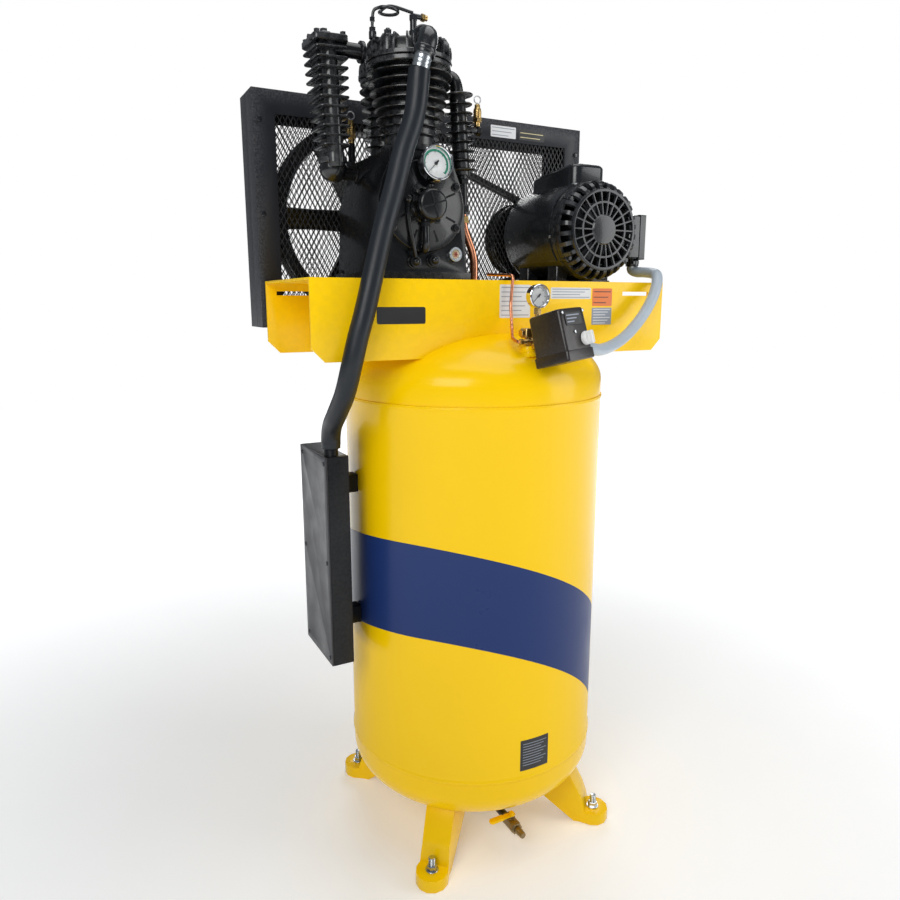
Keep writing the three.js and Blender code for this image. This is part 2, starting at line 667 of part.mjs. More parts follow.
function finnedColumn() {
  const pitch = AFTERCOOLER.length / (AFTERCOOLER.fins - 0.3);
  const column = [barZ(18, 0, AFTERCOOLER.length, 0, 0, 8)];
  for (let i = 0; i < AFTERCOOLER.fins; i += 1) {
    const z = 4 + i * pitch;
    column.push(barZ(AFTERCOOLER.finRadius, z, z + 5, 0, 0, 12));
  }
  return join(...column)
    .rotateY(THREE.MathUtils.degToRad(AFTERCOOLER.lean))
    .translate(AFTERCOOLER.x, AFTERCOOLER.y, AFTERCOOLER.bottom);
}

function aftercoolerGeometry() {
  const { x, y, bottom, length, lean } = AFTERCOOLER;
  const topX = x + length * Math.sin(THREE.MathUtils.degToRad(lean));
  const top = bottom + length;
  const elbow = tube(pipeRoute([
    [64, 42, top + 34], [100, 42, top + 34], [topX - 5, y, top + 34], [topX + 2, y, top - 16],
  ], 26), 14, 8, 10);
  const nozzle = tube([
    [x, y, bottom + 6], [x + 1, y, bottom - 20], [NOZZLE_END.x, y, NOZZLE_END.z],
  ], 12, 10, 4);
  const sidePort = barX(8, x - 20, RELIEF_PORT.x + 9, y, RELIEF_PORT.z, 10);
  return join(finnedColumn(), elbow, nozzle, sidePort);
}

place(pump, 'aftercooler', aftercoolerGeometry(), castBlack());

// ---------------------------------------------------------------- oil pump and its gauge
function oilPumpGeometry() {
  const y0 = COVER_FACE - GAP;
  return join(
    barY(31, y0 - 36, y0, 0, 0, 20),
    barY(29, y0 - 42, y0 - 30, 0, 0, 16),
    barZ(8, 20, 40, 4, y0 - 16, 8),
    barZ(7, -88, -20, -6, y0 - 14, 8),
    barY(9, y0 - 20, y0 - 1, -6, -84, 8),
  );
}

place(pump, 'oil_pump', oilPumpGeometry(), castBlack());

// A dial gauge facing -Y: a cup-shaped case, open at the front, with a stem from its edge.
function gaugeGeometry(radius, depth, stem) {
  const cup = turnedForward([
    [0, 0], [radius, 0], [radius, depth], [radius - 4, depth], [radius - 4, depth * 0.55],
    [0, depth * 0.55],
  ], 20);
  return join(cup, barZ(6, -radius - stem, 4 - radius, 0, -depth / 2, 10));
}

function needleGeometry(reach) {
  const pointer = slabXZ([[-1.4, -reach * 0.3], [1.4, -reach * 0.3], [0.5, reach], [-0.5, reach]], -1.2, 0);
  return join(pointer, barY(reach * 0.16, -2, 0.6, 0, 0, 12));
}

const OIL_GAUGE = { radius: 35, depth: 26 };
const oilGauge = subgroup(pump, [12, COVER_FACE - 10, 78], [-8, 0, 0]);
place(oilGauge, 'oil_gauge', gaugeGeometry(OIL_GAUGE.radius, OIL_GAUGE.depth, 1), steel());
place(
  oilGauge, 'oil_gauge_needle', needleGeometry(22), blackPaint(),
  [0, -OIL_GAUGE.depth * 0.55 - 1.2, 0], [0, 225, 0],
);

// ---------------------------------------------------------------- relief valves
function reliefValveGeometry() {
  return join(
    barZ(7, 0, 12, 0, 0, 10),
    barZ(11, 10, 18, 0, 0, 6),
    barZ(9, 16, 40, 0, 0, 12),
    barZ(6, 38, 47, 0, 0, 10),
  );
}

// The pull ring stands on the valve's stem.
function pullRingGeometry() {
  const ring = new THREE.TorusGeometry(8, 1.4, 5, 12).rotateX(Math.PI / 2).translate(0, 0, 9);
  return join(ring, barZ(2, 0, 2.4, 0, 0, 8));
}

function reliefValve(position, label) {
  const valve = subgroup(pump, position);
  place(valve, `${label}_valve`, reliefValveGeometry(), brass());
  place(valve, `${label}_ring`, pullRingGeometry(), steel(), [0, 0, 47 + GAP]);
}

reliefValve([INTERSTAGE_PORT.x, INTERSTAGE_PORT.y, INTERSTAGE_PORT.z + GAP], 'interstage');
reliefValve([RELIEF_PORT.x, AFTERCOOLER.y, RELIEF_PORT.z + 8 + GAP], 'discharge');

// ---------------------------------------------------------------- pump's unloader line
// A thin tube over the heads that holds the valves open for an unloaded start.
function unloaderTubeGeometry() {
  const z = HEAD_BASE + LOW_HEAD_HEIGHT + 6 + GAP;
  const coil = [];
  for (let i = 0; i <= 12; i += 1) {
    const angle = Math.PI + (i * Math.PI) / 6;
    coil.push([-37 + 20 * Math.cos(angle), -30 + 14 * Math.sin(angle), z + 58 - i * 0.7]);
  }
  const line = tube([
    [-69, -20, z], [-69, -20, z + 36], [-66, -22, z + 54], ...coil, [-40, -36, z + 61], [8, -51, z + 52],
  ], 3.2, 8, 42);
  const post = barZ(8, z, z + 14, -69, -20, 8);
  const block = barZ(7, z, z + 52, 8, -51.5, 10);
  const nozzle = barX(6, 8, 39, -52, z + 46, 10);
  return join(line, post, block, nozzle);
}

place(pump, 'unloader_tube', unloaderTubeGeometry(), blackPaint());

// ---------------------------------------------------------------- intake
// Elbow and nipple on the low-stage head, hose down the left side, silencer on the tank.
function intakeElbowGeometry() {
  const z = HEAD_BASE + 24;
  const inlet = barY(18, -166, LOW_STAGE_Y - 94, -10, z, 16);
  const corner = new THREE.SphereGeometry(20, 14, 10).translate(-11, -166, z);
  const outlet = tube([[-12, -166, z - 2], [-24, -165, z - 36]], 18, 14, 1);
  const lip = tube([[-22.5, -165, z - 30], [-25, -165, z - 37]], 21.5, 14, 1);
  const nipple = tube([[-24.5, -165, z - 36], [-33, -165, 246]], 15, 14, 1);
  return join(inlet, corner, outlet, lip, nipple);
}

place(pump, 'intake_elbow', intakeElbowGeometry(), castBlack());

const HOSE_ROUTE = [
  [-216, -165, 1742], [-228, -167, 1662], [-255, -170, 1590], [-278, -175, 1517],
  [-305, -184, 1443], [-333, -193, 1352], [-353, -198, 1285], [-369, -199, 1235],
  [-380, -195, 1188], [-386, -169, 1130], [-387, -120, 1082], [-384, -78, 1050], [-382, -61, 1024],
  [-382, -60, 1000],
];
place(compressor, 'intake_hose', tube(HOSE_ROUTE, HOSE_RADIUS, 10, 24), rubber());

// The silencer: a shallow tray on the tank's left side, open outwards, and its flat lid.
function silencerBoxGeometry() {
  const { left, right, front, back, bottom, top } = SILENCER;
  const shell = box(left + 4, right, front, back, bottom, top);
  const hollow = box(left, right - 3, front + 3, back - 3, bottom + 3, top - 3);
  const spigot = barZ(15, top - 4, top + 14, SILENCER.spigotX, SILENCER.spigotY, 16);
  const brackets = [bottom + 60, top - 100].map(
    (z) => box(right - 2, -TANK_RADIUS - 4 * GAP, -16, 16, z, z + 40),
  );
  return join(cut(shell, hollow), spigot, ...brackets);
}

function silencerLidGeometry() {
  const { left, front, back, bottom, top } = SILENCER;
  const screws = [];
  for (const y of [front + 14, back - 14]) {
    for (const z of [bottom + 16, (bottom + top) / 2, top - 16]) {
      screws.push(barX(5, left - 2.5, left + 1, y, z, 8));
    }
  }
  return join(box(left, left + 4 - GAP, front, back, bottom, top), ...screws);
}

place(compressor, 'silencer_box', silencerBoxGeometry(), blackPaint());
place(compressor, 'silencer_lid', silencerLidGeometry(), charcoalPaint());

// ---------------------------------------------------------------- copper lines
const INLET_TOP_Z = TOP_SEAM_Z + INLET_PORT.top;

function dischargePipeGeometry() {
  const x = CRANK.x + NOZZLE_END.x;
  const top = CRANK.z + NOZZLE_END.z - 2;
  const line = tube(pipeRoute([
    [x, AFTERCOOLER.y, top], [x, AFTERCOOLER.y, top - 22], [INLET_PORT.x, INLET_PORT.y, 1410],
    [INLET_PORT.x, INLET_PORT.y, INLET_TOP_Z + 20],
  ], 20), 9.5, 8, 18);
  const checkValve = barZ(15, INLET_TOP_Z + GAP, INLET_TOP_Z + 34, INLET_PORT.x, INLET_PORT.y, 12);
  return join(line, checkValve);
}

place(compressor, 'discharge_pipe', dischargePipeGeometry(), copper());

// The line from the switch's unloader valve, over the platform's edge, to the check valve's side.
function unloaderPipeGeometry() {
  return tube(pipeRoute([
    [-28.5, -256, 1224.5], [-37, -254, 1224], [-31, -222, 1231], [-12, -190, 1252], [-5, -173, 1300],
    [0, -173, 1362], [-20, -100, 1366],
  ], 9), 3.6, 8, 30);
}

place(compressor, 'unloader_pipe', unloaderPipeGeometry(), copper());

// ---------------------------------------------------------------- pressure switch and gauge
const MANIFOLD_Z = TOP_SEAM_Z + SWITCH_PORT.top + GAP;
const controls = subgroup(compressor, [SWITCH_PORT.x, SWITCH_PORT.y, MANIFOLD_Z]);

const MANIFOLD_TOP = 42;

function manifoldGeometry() {
  return join(
    barZ(9, 0, 24, 0, 0, 12),
    box(-14, 46, -11, 11, 16, 36),
    barX(8, -22, -12, 0, 26, 6),
    barX(6, -20, -4, -10, 8, 10),
    barZ(7, 34, MANIFOLD_TOP, 25, 5, 10),
    barX(7, 44, 58, 0, 26, 10),
  );
}

place(controls, 'switch_manifold', manifoldGeometry(), brass());

const TANK_GAUGE = { radius: 25, depth: 20 };
const TANK_GAUGE_STEM = 34;
const TANK_GAUGE_Z = MANIFOLD_TOP + TANK_GAUGE.radius + TANK_GAUGE_STEM + GAP;
const tankGauge = subgroup(controls, [25, 16, TANK_GAUGE_Z]);
place(tankGauge, 'tank_gauge', gaugeGeometry(TANK_GAUGE.radius, TANK_GAUGE.depth, TANK_GAUGE_STEM), steel());
place(
  tankGauge, 'tank_gauge_needle', needleGeometry(16), blackPaint(),
  [0, -TANK_GAUGE.depth * 0.55 - 1.2, 0], [0, 225, 0],
);

// The switch's case is turned and tipped back a little on its fitting.
const SWITCH_CASE = { width: 86, depth: 88, height: 104 };
const switchCase = subgroup(controls, [21, -82, 19], [-13, -7, 14]);

function switchCaseGeometry() {
  const { width, depth, height } = SWITCH_CASE;
  const base = box(-width / 2, width / 2, -depth / 2, depth / 2, -height / 2, -height / 2 + 22);
  const cover = slabXZ([
    [-width / 2 + 2, -height / 2 + 20], [width / 2 - 2, -height / 2 + 20],
    [width / 2 - 4, height / 2], [-width / 2 + 4, height / 2],
  ], -depth / 2 + 2, depth / 2 - 2);
  const gland = barX(15, width / 2 - 6, width / 2 + 14, 0, -height / 2 + 26, 12);
  const inlet = barY(8, depth / 2 - 6, depth / 2 + 24, -6, -2, 12);
  return join(base, cover, gland, inlet);
}

place(switchCase, 'pressure_switch', switchCaseGeometry(), blackPaint());

// The on-off knob on the case's front.
function knobGeometry() {
  return join(barY(14, -10, 0, 0, 0, 20), box(-4, 4, -20, -9, -13, 13));
}

place(
  switchCase, 'switch_knob', knobGeometry(), whiteEnamel(),
  [SWITCH_CASE.width / 2 - 20, 2 - SWITCH_CASE.depth / 2 - GAP, -12],
);

// ---------------------------------------------------------------- motor
// The motor's group has its origin on the shaft's axis, at Y = 0.
const motor = subgroup(compressor, [MOTOR.x, 0, MOTOR.z]);
const MOTOR_FRONT = -92;
const MOTOR_BACK = 128;
const MOTOR_BASE = DECK.top + GAP - MOTOR.z;

// The stator's frame, closed by the drive-end bell, on a foot plate.
function motorHousingGeometry() {
  const { radius } = MOTOR;
  const frame = turnedForward([
    [72, -MOTOR_BACK], [radius - 8, -MOTOR_BACK], [radius, 12 - MOTOR_BACK], [radius, -MOTOR_FRONT],
    [72, -MOTOR_FRONT], [72, -MOTOR_BACK],
  ], 32);
  const bell = cut(
    barY(radius - 8, MOTOR_BACK - 2, MOTOR_BACK + 30, 0, 0, 32, 75),
    barY(SHAFT_RADIUS + 1.5, MOTOR_BACK - 4, MOTOR_BACK + 40, 0, 0, 16),
  );
  const feet = [-1, 1].flatMap((side) => [-40, 84].map(
    (y) => box(...(side < 0 ? [-80, -46] : [46, 80]), y - 20, y + 20, MOTOR_BASE, MOTOR_BASE + 40),
  ));
  const plate = box(-84, 84, -64, 112, MOTOR_BASE, MOTOR_BASE + 6);
  return cut(join(frame, bell, ...feet, plate), barY(72, MOTOR_FRONT - 1, MOTOR_BACK - 3, 0, 0, 32));
}

place(motor, 'motor_housing', motorHousingGeometry(), blackPaint());

// The fan-end bell: a cup with a slotted face and slots round its side.
function fanCoverGeometry() {
  const radius = MOTOR.radius;
  const y0 = -MOTOR_FRONT + GAP;
  const cup = turnedForward([
    [0, y0 + 42], [78, y0 + 42], [94, y0 + 36], [radius - 4, y0 + 16], [radius - 2, y0],
    [radius - 8, y0], [radius - 10, y0 + 14], [90, y0 + 31], [76, y0 + 36], [0, y0 + 36],
  ], 28);
  const slots = [];
  const count = 12;
  for (let i = 0; i < count; i += 1) {
    const slot = box(42, 74, -y0 - 50, -y0 - 30, -7, 7);
    slots.push(slot.rotateY((i * 2 * Math.PI) / count));
  }
  return cut(cup, ...slots);
}

place(motor, 'motor_fan_cover', fanCoverGeometry(), blackPaint());

// Rotor, shaft and cooling fan turn together.
function rotorGeometry() {
  const pieces = [
    barY(66, MOTOR_FRONT + 8, MOTOR_BACK - 8, 0, 0, 24),
    barY(SHAFT_RADIUS, MOTOR_FRONT - 28, BELT_PLANE_Y + PULLEY_WIDTH / 2 + 6, 0, 0, 20),
    barY(26, MOTOR_FRONT - 28, MOTOR_FRONT - 4, 0, 0, 20),
  ];
  for (let i = 0; i < 8; i += 1) {
    pieces.push(box(20, 82, MOTOR_FRONT - 28, MOTOR_FRONT - 8, -1.5, 1.5).rotateY((i * Math.PI) / 4));
  }
  return join(...pieces);
}

place(motor, 'motor_rotor', rotorGeometry(), steel());

function pulleyGeometry() {
  const half = PULLEY_WIDTH / 2;
  const belt = BELT_WIDTH / 2 + 2;
  const bore = SHAFT_RADIUS + GAP;
  const groove = PULLEY_RADIUS - GROOVE_DEPTH;
  return turnedForward([
    [bore, -half], [PULLEY_RADIUS, -half], [PULLEY_RADIUS, -belt], [groove, -belt],
    [groove, belt], [PULLEY_RADIUS, belt], [PULLEY_RADIUS, half], [bore, half], [bore, -half],
  ], 28);
}

place(motor, 'motor_pulley', pulleyGeometry(), castBlack(), [0, BELT_PLANE_Y, 0]);

// The belt runs in both grooves: two arcs joined by the outer tangents of the two wheels.
function beltOutline(extra) {
  const run = [MOTOR.x - CRANK.x, MOTOR.z - CRANK.z];
  const big = FLYWHEEL_RADIUS - GROOVE_DEPTH + extra;
  const small = PULLEY_RADIUS - GROOVE_DEPTH + extra;
  const heading = THREE.MathUtils.radToDeg(Math.atan2(run[1], run[0]));
  const spread = THREE.MathUtils.radToDeg(Math.acos((big - small) / Math.hypot(...run)));
  return [
    ...arcXZ(0, 0, big, heading + spread, heading - spread + 360, 30),
    ...arcXZ(run[0], run[1], small, heading - spread, heading + spread, 12),
  ];
}

function beltGeometry() {
  const half = BELT_WIDTH / 2;
  const outer = slabXZ(beltOutline(1.2 + BELT_THICKNESS), -half, half);
  const inner = slabXZ(beltOutline(1.2), -half - 1, half + 1);
  return cut(outer, inner);
}

place(pump, 'drive_belt', beltGeometry(), rubber(), [0, BELT_PLANE_Y, 0]);

// The start-capacitor cover sits on top of the frame, cut to its curve.
const CAPACITOR = { half: 50, front: -76, back: 110, top: 155, corner: 24, slope: 8 };

function capacitorCoverGeometry() {
  const { half, front, back, top, corner, slope } = CAPACITOR;
  const cornerArc = (x, y, from, to) => arcXZ(x, y, corner, from, to, 4);
  const outline = [
    ...cornerArc(corner - half, front + corner, 180, 270),
    ...cornerArc(half - corner, front + corner, 270, 360),
    [half, back], [-half, back],
  ];
  const frame = barY(MOTOR.radius + 2 * GAP, -200, 200, 0, 0, 40);
  const above = box(-80, 80, 0, 240, 0, 80)
    .rotateX(THREE.MathUtils.degToRad(-slope))
    .translate(0, front + 60, top);
  return cut(slabXY(outline, 60, top), frame, above);
}

place(motor, 'capacitor_cover', capacitorCoverGeometry(), blackPaint());

// The terminal box on the frame's right side, with the conduit's gland below it.
function junctionBoxGeometry() {
  const frame = barY(MOTOR.radius + 2 * GAP, -200, 200, 0, 0, 40);
  const gland = barZ(16, -78, -58, 153, -62, 12);
  return join(cut(box(96, 168, -92, -22, -60, 44), frame), gland);
}

place(motor, 'junction_box', junctionBoxGeometry(), blackPaint());

const CONDUIT_ROUTE = [
  [430, -62, 1393.2], [430, -62, 1387], [434, -74, 1381], [437, -102, 1379], [430, -138, 1375],
  [416, -167, 1368], [398, -187, 1345], [377, -197, 1314], [349, -203, 1280], [311, -213, 1249],
  [262, -231, 1224], [204, -257, 1209], [150, -285, 1205], [110, -306, 1210], [75.6, -318.2, 1213.7],
];
place(compressor, 'conduit', tube(CONDUIT_ROUTE, CONDUIT_RADIUS, 8, 22), greyPlastic());

// ---------------------------------------------------------------- origin
const bounds = new THREE.Box3().setFromObject(compressor, true);
const middle = bounds.getCenter(new THREE.Vector3());
compressor.position.set(-middle.x, -middle.y, -bounds.min.z);

export default compressor;
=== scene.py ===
import math
import random

import bpy
from mathutils import Matrix, Vector


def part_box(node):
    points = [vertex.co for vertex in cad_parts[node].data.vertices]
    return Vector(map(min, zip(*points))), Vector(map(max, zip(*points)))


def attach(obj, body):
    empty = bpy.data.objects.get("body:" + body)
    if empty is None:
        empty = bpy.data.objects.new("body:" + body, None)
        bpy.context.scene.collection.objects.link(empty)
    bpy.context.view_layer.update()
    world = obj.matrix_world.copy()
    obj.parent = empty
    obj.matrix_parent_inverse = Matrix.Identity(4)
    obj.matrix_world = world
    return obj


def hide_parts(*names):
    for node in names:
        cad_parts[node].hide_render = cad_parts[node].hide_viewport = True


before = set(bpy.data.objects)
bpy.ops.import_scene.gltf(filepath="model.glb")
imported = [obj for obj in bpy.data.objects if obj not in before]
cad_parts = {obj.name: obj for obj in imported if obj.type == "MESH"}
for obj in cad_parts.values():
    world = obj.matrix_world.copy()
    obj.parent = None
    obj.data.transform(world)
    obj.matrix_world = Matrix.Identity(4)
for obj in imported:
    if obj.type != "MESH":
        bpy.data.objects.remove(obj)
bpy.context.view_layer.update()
random.seed(7)

# ---- places
# Shapes are drawn in millimetres about the tank's axis, with the floor at zero.
shell_low, shell_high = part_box("tank_shell")
AXIS = Vector(((shell_low.x + shell_high.x) / 2, (shell_low.y + shell_high.y) / 2, 0))
WORLD = Matrix.Translation(AXIS) @ Matrix.Scale(0.001, 4)

TANK_RADIUS = 304.7
BOTTOM_SEAM = 240
TOP_SEAM = 1095
HEAD_SKIRT = 34
HEAD_DEPTH = 130
BELT_Y = 225
CRANK = Vector((-182, 0, 1500))
MOTOR = Vector((277, 0, 1472))
LOW_Y = -45
HIGH_Y = 78
BLOCK_TOP = 110
CYLINDER = 174
HEAD_BASE = BLOCK_TOP + CYLINDER + 0.6
LOW_HEAD_HEIGHT = 42
SPLIT_Y = 24


def turn(rx=0, ry=0, rz=0):
    """An XYZ turn, in degrees: the X, Y and Z rotations multiplied in that order."""
    a, b, c = (math.radians(v) for v in (rx, ry, rz))
    return Matrix.Rotation(a, 4, "X") @ Matrix.Rotation(b, 4, "Y") @ Matrix.Rotation(c, 4, "Z")


def shift(x, y, z):
    return Matrix.Translation(Vector((x, y, z)))


PUMP = shift(*CRANK)
MOTOR_AT = shift(*MOTOR)
TO_Y = Matrix.Rotation(math.radians(90), 4, "X")      # local +Z becomes -Y
TO_X = Matrix.Rotation(math.radians(90), 4, "Y")      # local +Z becomes +X


def to_front(x, y, z):
    return shift(x, y, z) @ TO_Y


def to_right(x, y, z):
    return shift(x, y, z) @ TO_X


def around(count, radius, start=0.0):
    """Places spread evenly on a circle about local Z, from an angle in degrees."""
    for i in range(count):
        angle = math.radians(start + 360 * i / count)
        yield shift(radius * math.cos(angle), radius * math.sin(angle), 0)


# ---- camera, light and floor
def aim(obj, direction):
    obj.rotation_euler = Vector(direction).to_track_quat("-Z", "Y").to_euler()


camera_data = bpy.data.cameras.new("camera")
camera_data.lens = 29.27
camera_data.sensor_width = 36
camera = bpy.data.objects.new("camera", camera_data)
camera.location = AXIS + Vector((-0.881, -1.535, 1.305))
camera.rotation_euler = (math.radians(90 - 11.4), 0, math.radians(-28.1))
bpy.context.scene.collection.objects.link(camera)
bpy.context.scene.camera = camera


def softbox(name, place, target, size, power, tint=(1, 1, 1)):
    data = bpy.data.lights.new(name, "AREA")
    data.shape = "RECTANGLE"
    data.size, data.size_y = size
    data.energy = power
    data.color = tint
    lamp = bpy.data.objects.new(name, data)
    lamp.location = AXIS + Vector(place)
    aim(lamp, AXIS + Vector(target) - lamp.location)
    bpy.context.scene.collection.objects.link(lamp)


softbox("key_box", (-2.6, -2.4, 3.0), (0, 0, 1.0), (2.0, 2.0), 66)
softbox("fill_box", (2.9, -2.3, 1.9), (0, 0, 0.9), (1.8, 2.6), 44)
softbox("top_box", (0.3, -0.4, 4.2), (0, 0, 1.2), (2.6, 2.6), 46)
softbox("rim_box", (1.8, 3.0, 2.6), (0, 0, 1.2), (2.4, 1.6), 40)

world = bpy.data.worlds.new("studio")
world.use_nodes = True
tree = world.node_tree
backdrop = tree.nodes["Background"]
backdrop.inputs["Color"].default_value = (1, 1, 1, 1)
room = tree.nodes.new("ShaderNodeBackground")
room.inputs["Color"].default_value = (0.86, 0.93, 1, 1)
room.inputs["Strength"].default_value = 0.2
seen = tree.nodes.new("ShaderNodeLightPath")
choose = tree.nodes.new("ShaderNodeMixShader")
tree.links.new(seen.outputs["Is Camera Ray"], choose.inputs[0])
tree.links.new(room.outputs[0], choose.inputs[1])
tree.links.new(backdrop.outputs[0], choose.inputs[2])
tree.links.new(choose.outputs[0], tree.nodes["World Output"].inputs["Surface"])
bpy.context.scene.world = world
bpy.context.scene.view_settings.view_transform = "Standard"


# ---- materials
def new_material(name):
    material = bpy.data.materials.new(name)
    material.use_nodes = True
    return material, material.node_tree.nodes, material.node_tree.links


def set_range(node, *limits):
    """Fills the limits of a Map Range node: from low and high, to low and high."""
    for socket, number in zip(("From Min", "From Max", "To Min", "To Max"), limits):
        node.inputs[socket].default_value = number


def surface(name, colour, roughness, metallic=0.0, vary=0.12, grain=90.0, bump=0.04, wear=0.0,
            wear_colour=(0.5, 0.5, 0.5), coat=0.0, dust=0.0, coarse=6.0, gloss=0.5):
    """Paint, metal, rubber or plastic: two scales of colour change, uneven roughness, fine bump,
    worn edges where the surface is sharply convex, and dust in the hollows."""
    material, nodes, links = new_material(name)
    shader = nodes["Principled BSDF"]
    shader.inputs["Metallic"].default_value = metallic
    shader.inputs["Coat Weight"].default_value = coat
    shader.inputs["Coat Roughness"].default_value = 0.06
    shader.inputs["Specular IOR Level"].default_value = gloss
    where = nodes.new("ShaderNodeTexCoord")

    def noise(scale, detail=4.0):
        node = nodes.new("ShaderNodeTexNoise")
        node.inputs["Scale"].default_value = scale
        node.inputs["Detail"].default_value = detail
        links.new(where.outputs["Object"], node.inputs["Vector"])
        return node.outputs["Fac"]

    def mix(amount, first, second, mode="MIX"):
        node = nodes.new("ShaderNodeMix")
        node.data_type = "RGBA"
        node.blend_type = mode
        for socket, value in (("Factor", amount), ("A", first), ("B", second)):
            target = [i for i in node.inputs if i.name == socket and i.enabled][0]
            if isinstance(value, bpy.types.NodeSocket):
                links.new(value, target)
            else:
                target.default_value = value
        return [o for o in node.outputs if o.enabled][0]

    def ramp(value, low, high, out_low, out_high):
        node = nodes.new("ShaderNodeMapRange")
        links.new(value, node.inputs["Value"])
        set_range(node, low, high, out_low, out_high)
        return node.outputs["Result"]

    darker = tuple(c * (1 - vary) for c in colour) + (1,)
    lighter = tuple(min(1, c * (1 + vary * 0.6)) for c in colour) + (1,)
    tone = mix(ramp(noise(coarse), 0.35, 0.65, 0, 1), darker, lighter)
    tone = mix(ramp(noise(grain * 0.7, 2.0), 0.3, 0.7, 0, 0.35), tone, darker)
    geometry = nodes.new("ShaderNodeNewGeometry")
    if wear:
        edge = ramp(geometry.outputs["Pointiness"], 0.53, 0.6, 0, wear)
        broken = nodes.new("ShaderNodeMath")
        broken.operation = "MULTIPLY"
        links.new(edge, broken.inputs[0])
        links.new(ramp(noise(grain), 0.4, 0.6, 0, 1), broken.inputs[1])
        tone = mix(broken.outputs[0], tone, wear_colour + (1,))
    if dust:
        hollow = ramp(geometry.outputs["Pointiness"], 0.49, 0.44, 0, dust)
        tone = mix(hollow, tone, (0.23, 0.22, 0.2, 1))
    links.new(tone, shader.inputs["Base Color"])
    uneven = ramp(noise(coarse * 3), 0.3, 0.7, roughness * 0.82, min(1, roughness * 1.2))
    links.new(uneven, shader.inputs["Roughness"])
    relief = nodes.new("ShaderNodeBump")
    relief.inputs["Strength"].default_value = bump
    relief.inputs["Distance"].default_value = 0.002
    links.new(noise(grain * 3, 3.0), relief.inputs["Height"])
    links.new(relief.outputs["Normal"], shader.inputs["Normal"])
    return material


YELLOW = surface("yellow_gloss", (1.0, 0.62, 0.0005), 0.22, vary=0.02, grain=60, bump=0.02, coat=0.1,
                 wear=0.08, wear_colour=(0.55, 0.3, 0.02), coarse=2.5, gloss=0.2)
DECK_YELLOW = surface("yellow_sheet", (1.0, 0.62, 0.0008), 0.27, vary=0.02, grain=80, bump=0.02, coat=0.08,
                      wear=0.07, wear_colour=(0.5, 0.3, 0.03), coarse=3.0, gloss=0.25)
CAST = surface("cast_black_paint", (0.0042, 0.0047, 0.0058), 0.26, vary=0.3, grain=120, bump=0.08, coat=0.2,
               wear=0.25, wear_colour=(0.07, 0.07, 0.075), dust=0.008, gloss=0.4)
# The fins' light edge colour is partly paint worn off the fin edges and partly a painted highlight, standing
# for the thin lines of light that the fin edges reflect.
FIN_BLACK_WORN_GLINT_EDGES = surface("fin_black_worn_glint_edges", (0.005, 0.0055, 0.0065), 0.27, vary=0.3, grain=110, bump=0.06, coat=0.25,
                    wear=0.35, wear_colour=(0.16, 0.165, 0.175), dust=0.0)
SATIN = surface("satin_black_paint", (0.0085, 0.0102, 0.0125), 0.24, vary=0.2, grain=60, bump=0.025,
                coat=0.25, wear=0.25, wear_colour=(0.12, 0.12, 0.13))
CHARCOAL = surface("charcoal_powder", (0.017, 0.018, 0.0225), 0.4, vary=0.1, grain=240, bump=0.08, coat=0.04,
                   wear=0.3, wear_colour=(0.2, 0.2, 0.21), gloss=0.3)
# The silencer's lid and box share one black finish in two tones: the lid is lighter, as painted light for
# its lit face, and the box is darker, as painted shade for its sides.
LID_POWDER_PAINTED_LIT = surface("silencer_lid_powder_painted_lit", (0.03, 0.031, 0.037), 0.4, vary=0.06, grain=200, bump=0.05,
                     wear=0.06, wear_colour=(0.2, 0.2, 0.21), gloss=0.4)
BOX_BLACK_PAINTED_SHADE = surface("silencer_box_black_painted_shade", (0.007, 0.0078, 0.0095), 0.36, vary=0.12, grain=160, bump=0.05,
                    wear=0.08, wear_colour=(0.12, 0.12, 0.13), gloss=0.25)
MESH_BLACK = surface("mesh_black", (0.008, 0.0085, 0.01), 0.45, vary=0.2, grain=120, bump=0.05,
                     wear=0.2, wear_colour=(0.12, 0.12, 0.13))
STEEL = surface("machined_steel", (0.55, 0.56, 0.58), 0.3, metallic=1.0, vary=0.12, grain=180, bump=0.05)
CHROME = surface("chrome_bezel", (0.74, 0.75, 0.77), 0.1, metallic=1.0, vary=0.05, grain=120, bump=0.01)
ZINC = surface("zinc_plate", (0.6, 0.64, 0.67), 0.27, metallic=1.0, vary=0.18, grain=150, bump=0.08)
BRASS = surface("brass", (0.62, 0.43, 0.17), 0.27, metallic=1.0, vary=0.2, grain=130, bump=0.06)
OLD_BRASS = surface("aged_brass", (0.34, 0.26, 0.14), 0.34, metallic=1.0, vary=0.35, grain=90, bump=0.1)
COPPER = surface("copper_line", (0.72, 0.31, 0.18), 0.24, metallic=1.0, vary=0.22, grain=70, bump=0.04,
                 coarse=14)
RUBBER = surface("hose_rubber", (0.011, 0.0145, 0.019), 0.4, vary=0.2, grain=200, bump=0.1, gloss=0.35)
BELT_RUBBER = surface("belt_rubber", (0.02, 0.021, 0.023), 0.62, vary=0.2, grain=260, bump=0.25)
CONDUIT_GREY = surface("conduit_grey", (0.4, 0.46, 0.52), 0.42, vary=0.08, grain=120, bump=0.05)
WHITE = surface("white_plastic", (0.78, 0.78, 0.76), 0.32, vary=0.05, grain=90, bump=0.03)
DIAL = surface("dial_face", (0.86, 0.87, 0.86), 0.5, vary=0.03, grain=90, bump=0.01)
INK = surface("dial_ink", (0.02, 0.02, 0.022), 0.5, vary=0.1, grain=90, bump=0.01)
GREEN = surface("dial_green", (0.03, 0.33, 0.2), 0.5, vary=0.08, grain=90, bump=0.01)
BROWN_BLACK = surface("switch_case_black", (0.017, 0.013, 0.0115), 0.33, vary=0.2, grain=200, bump=0.1,
                      coat=0.1, wear=0.2, wear_colour=(0.1, 0.09, 0.085))
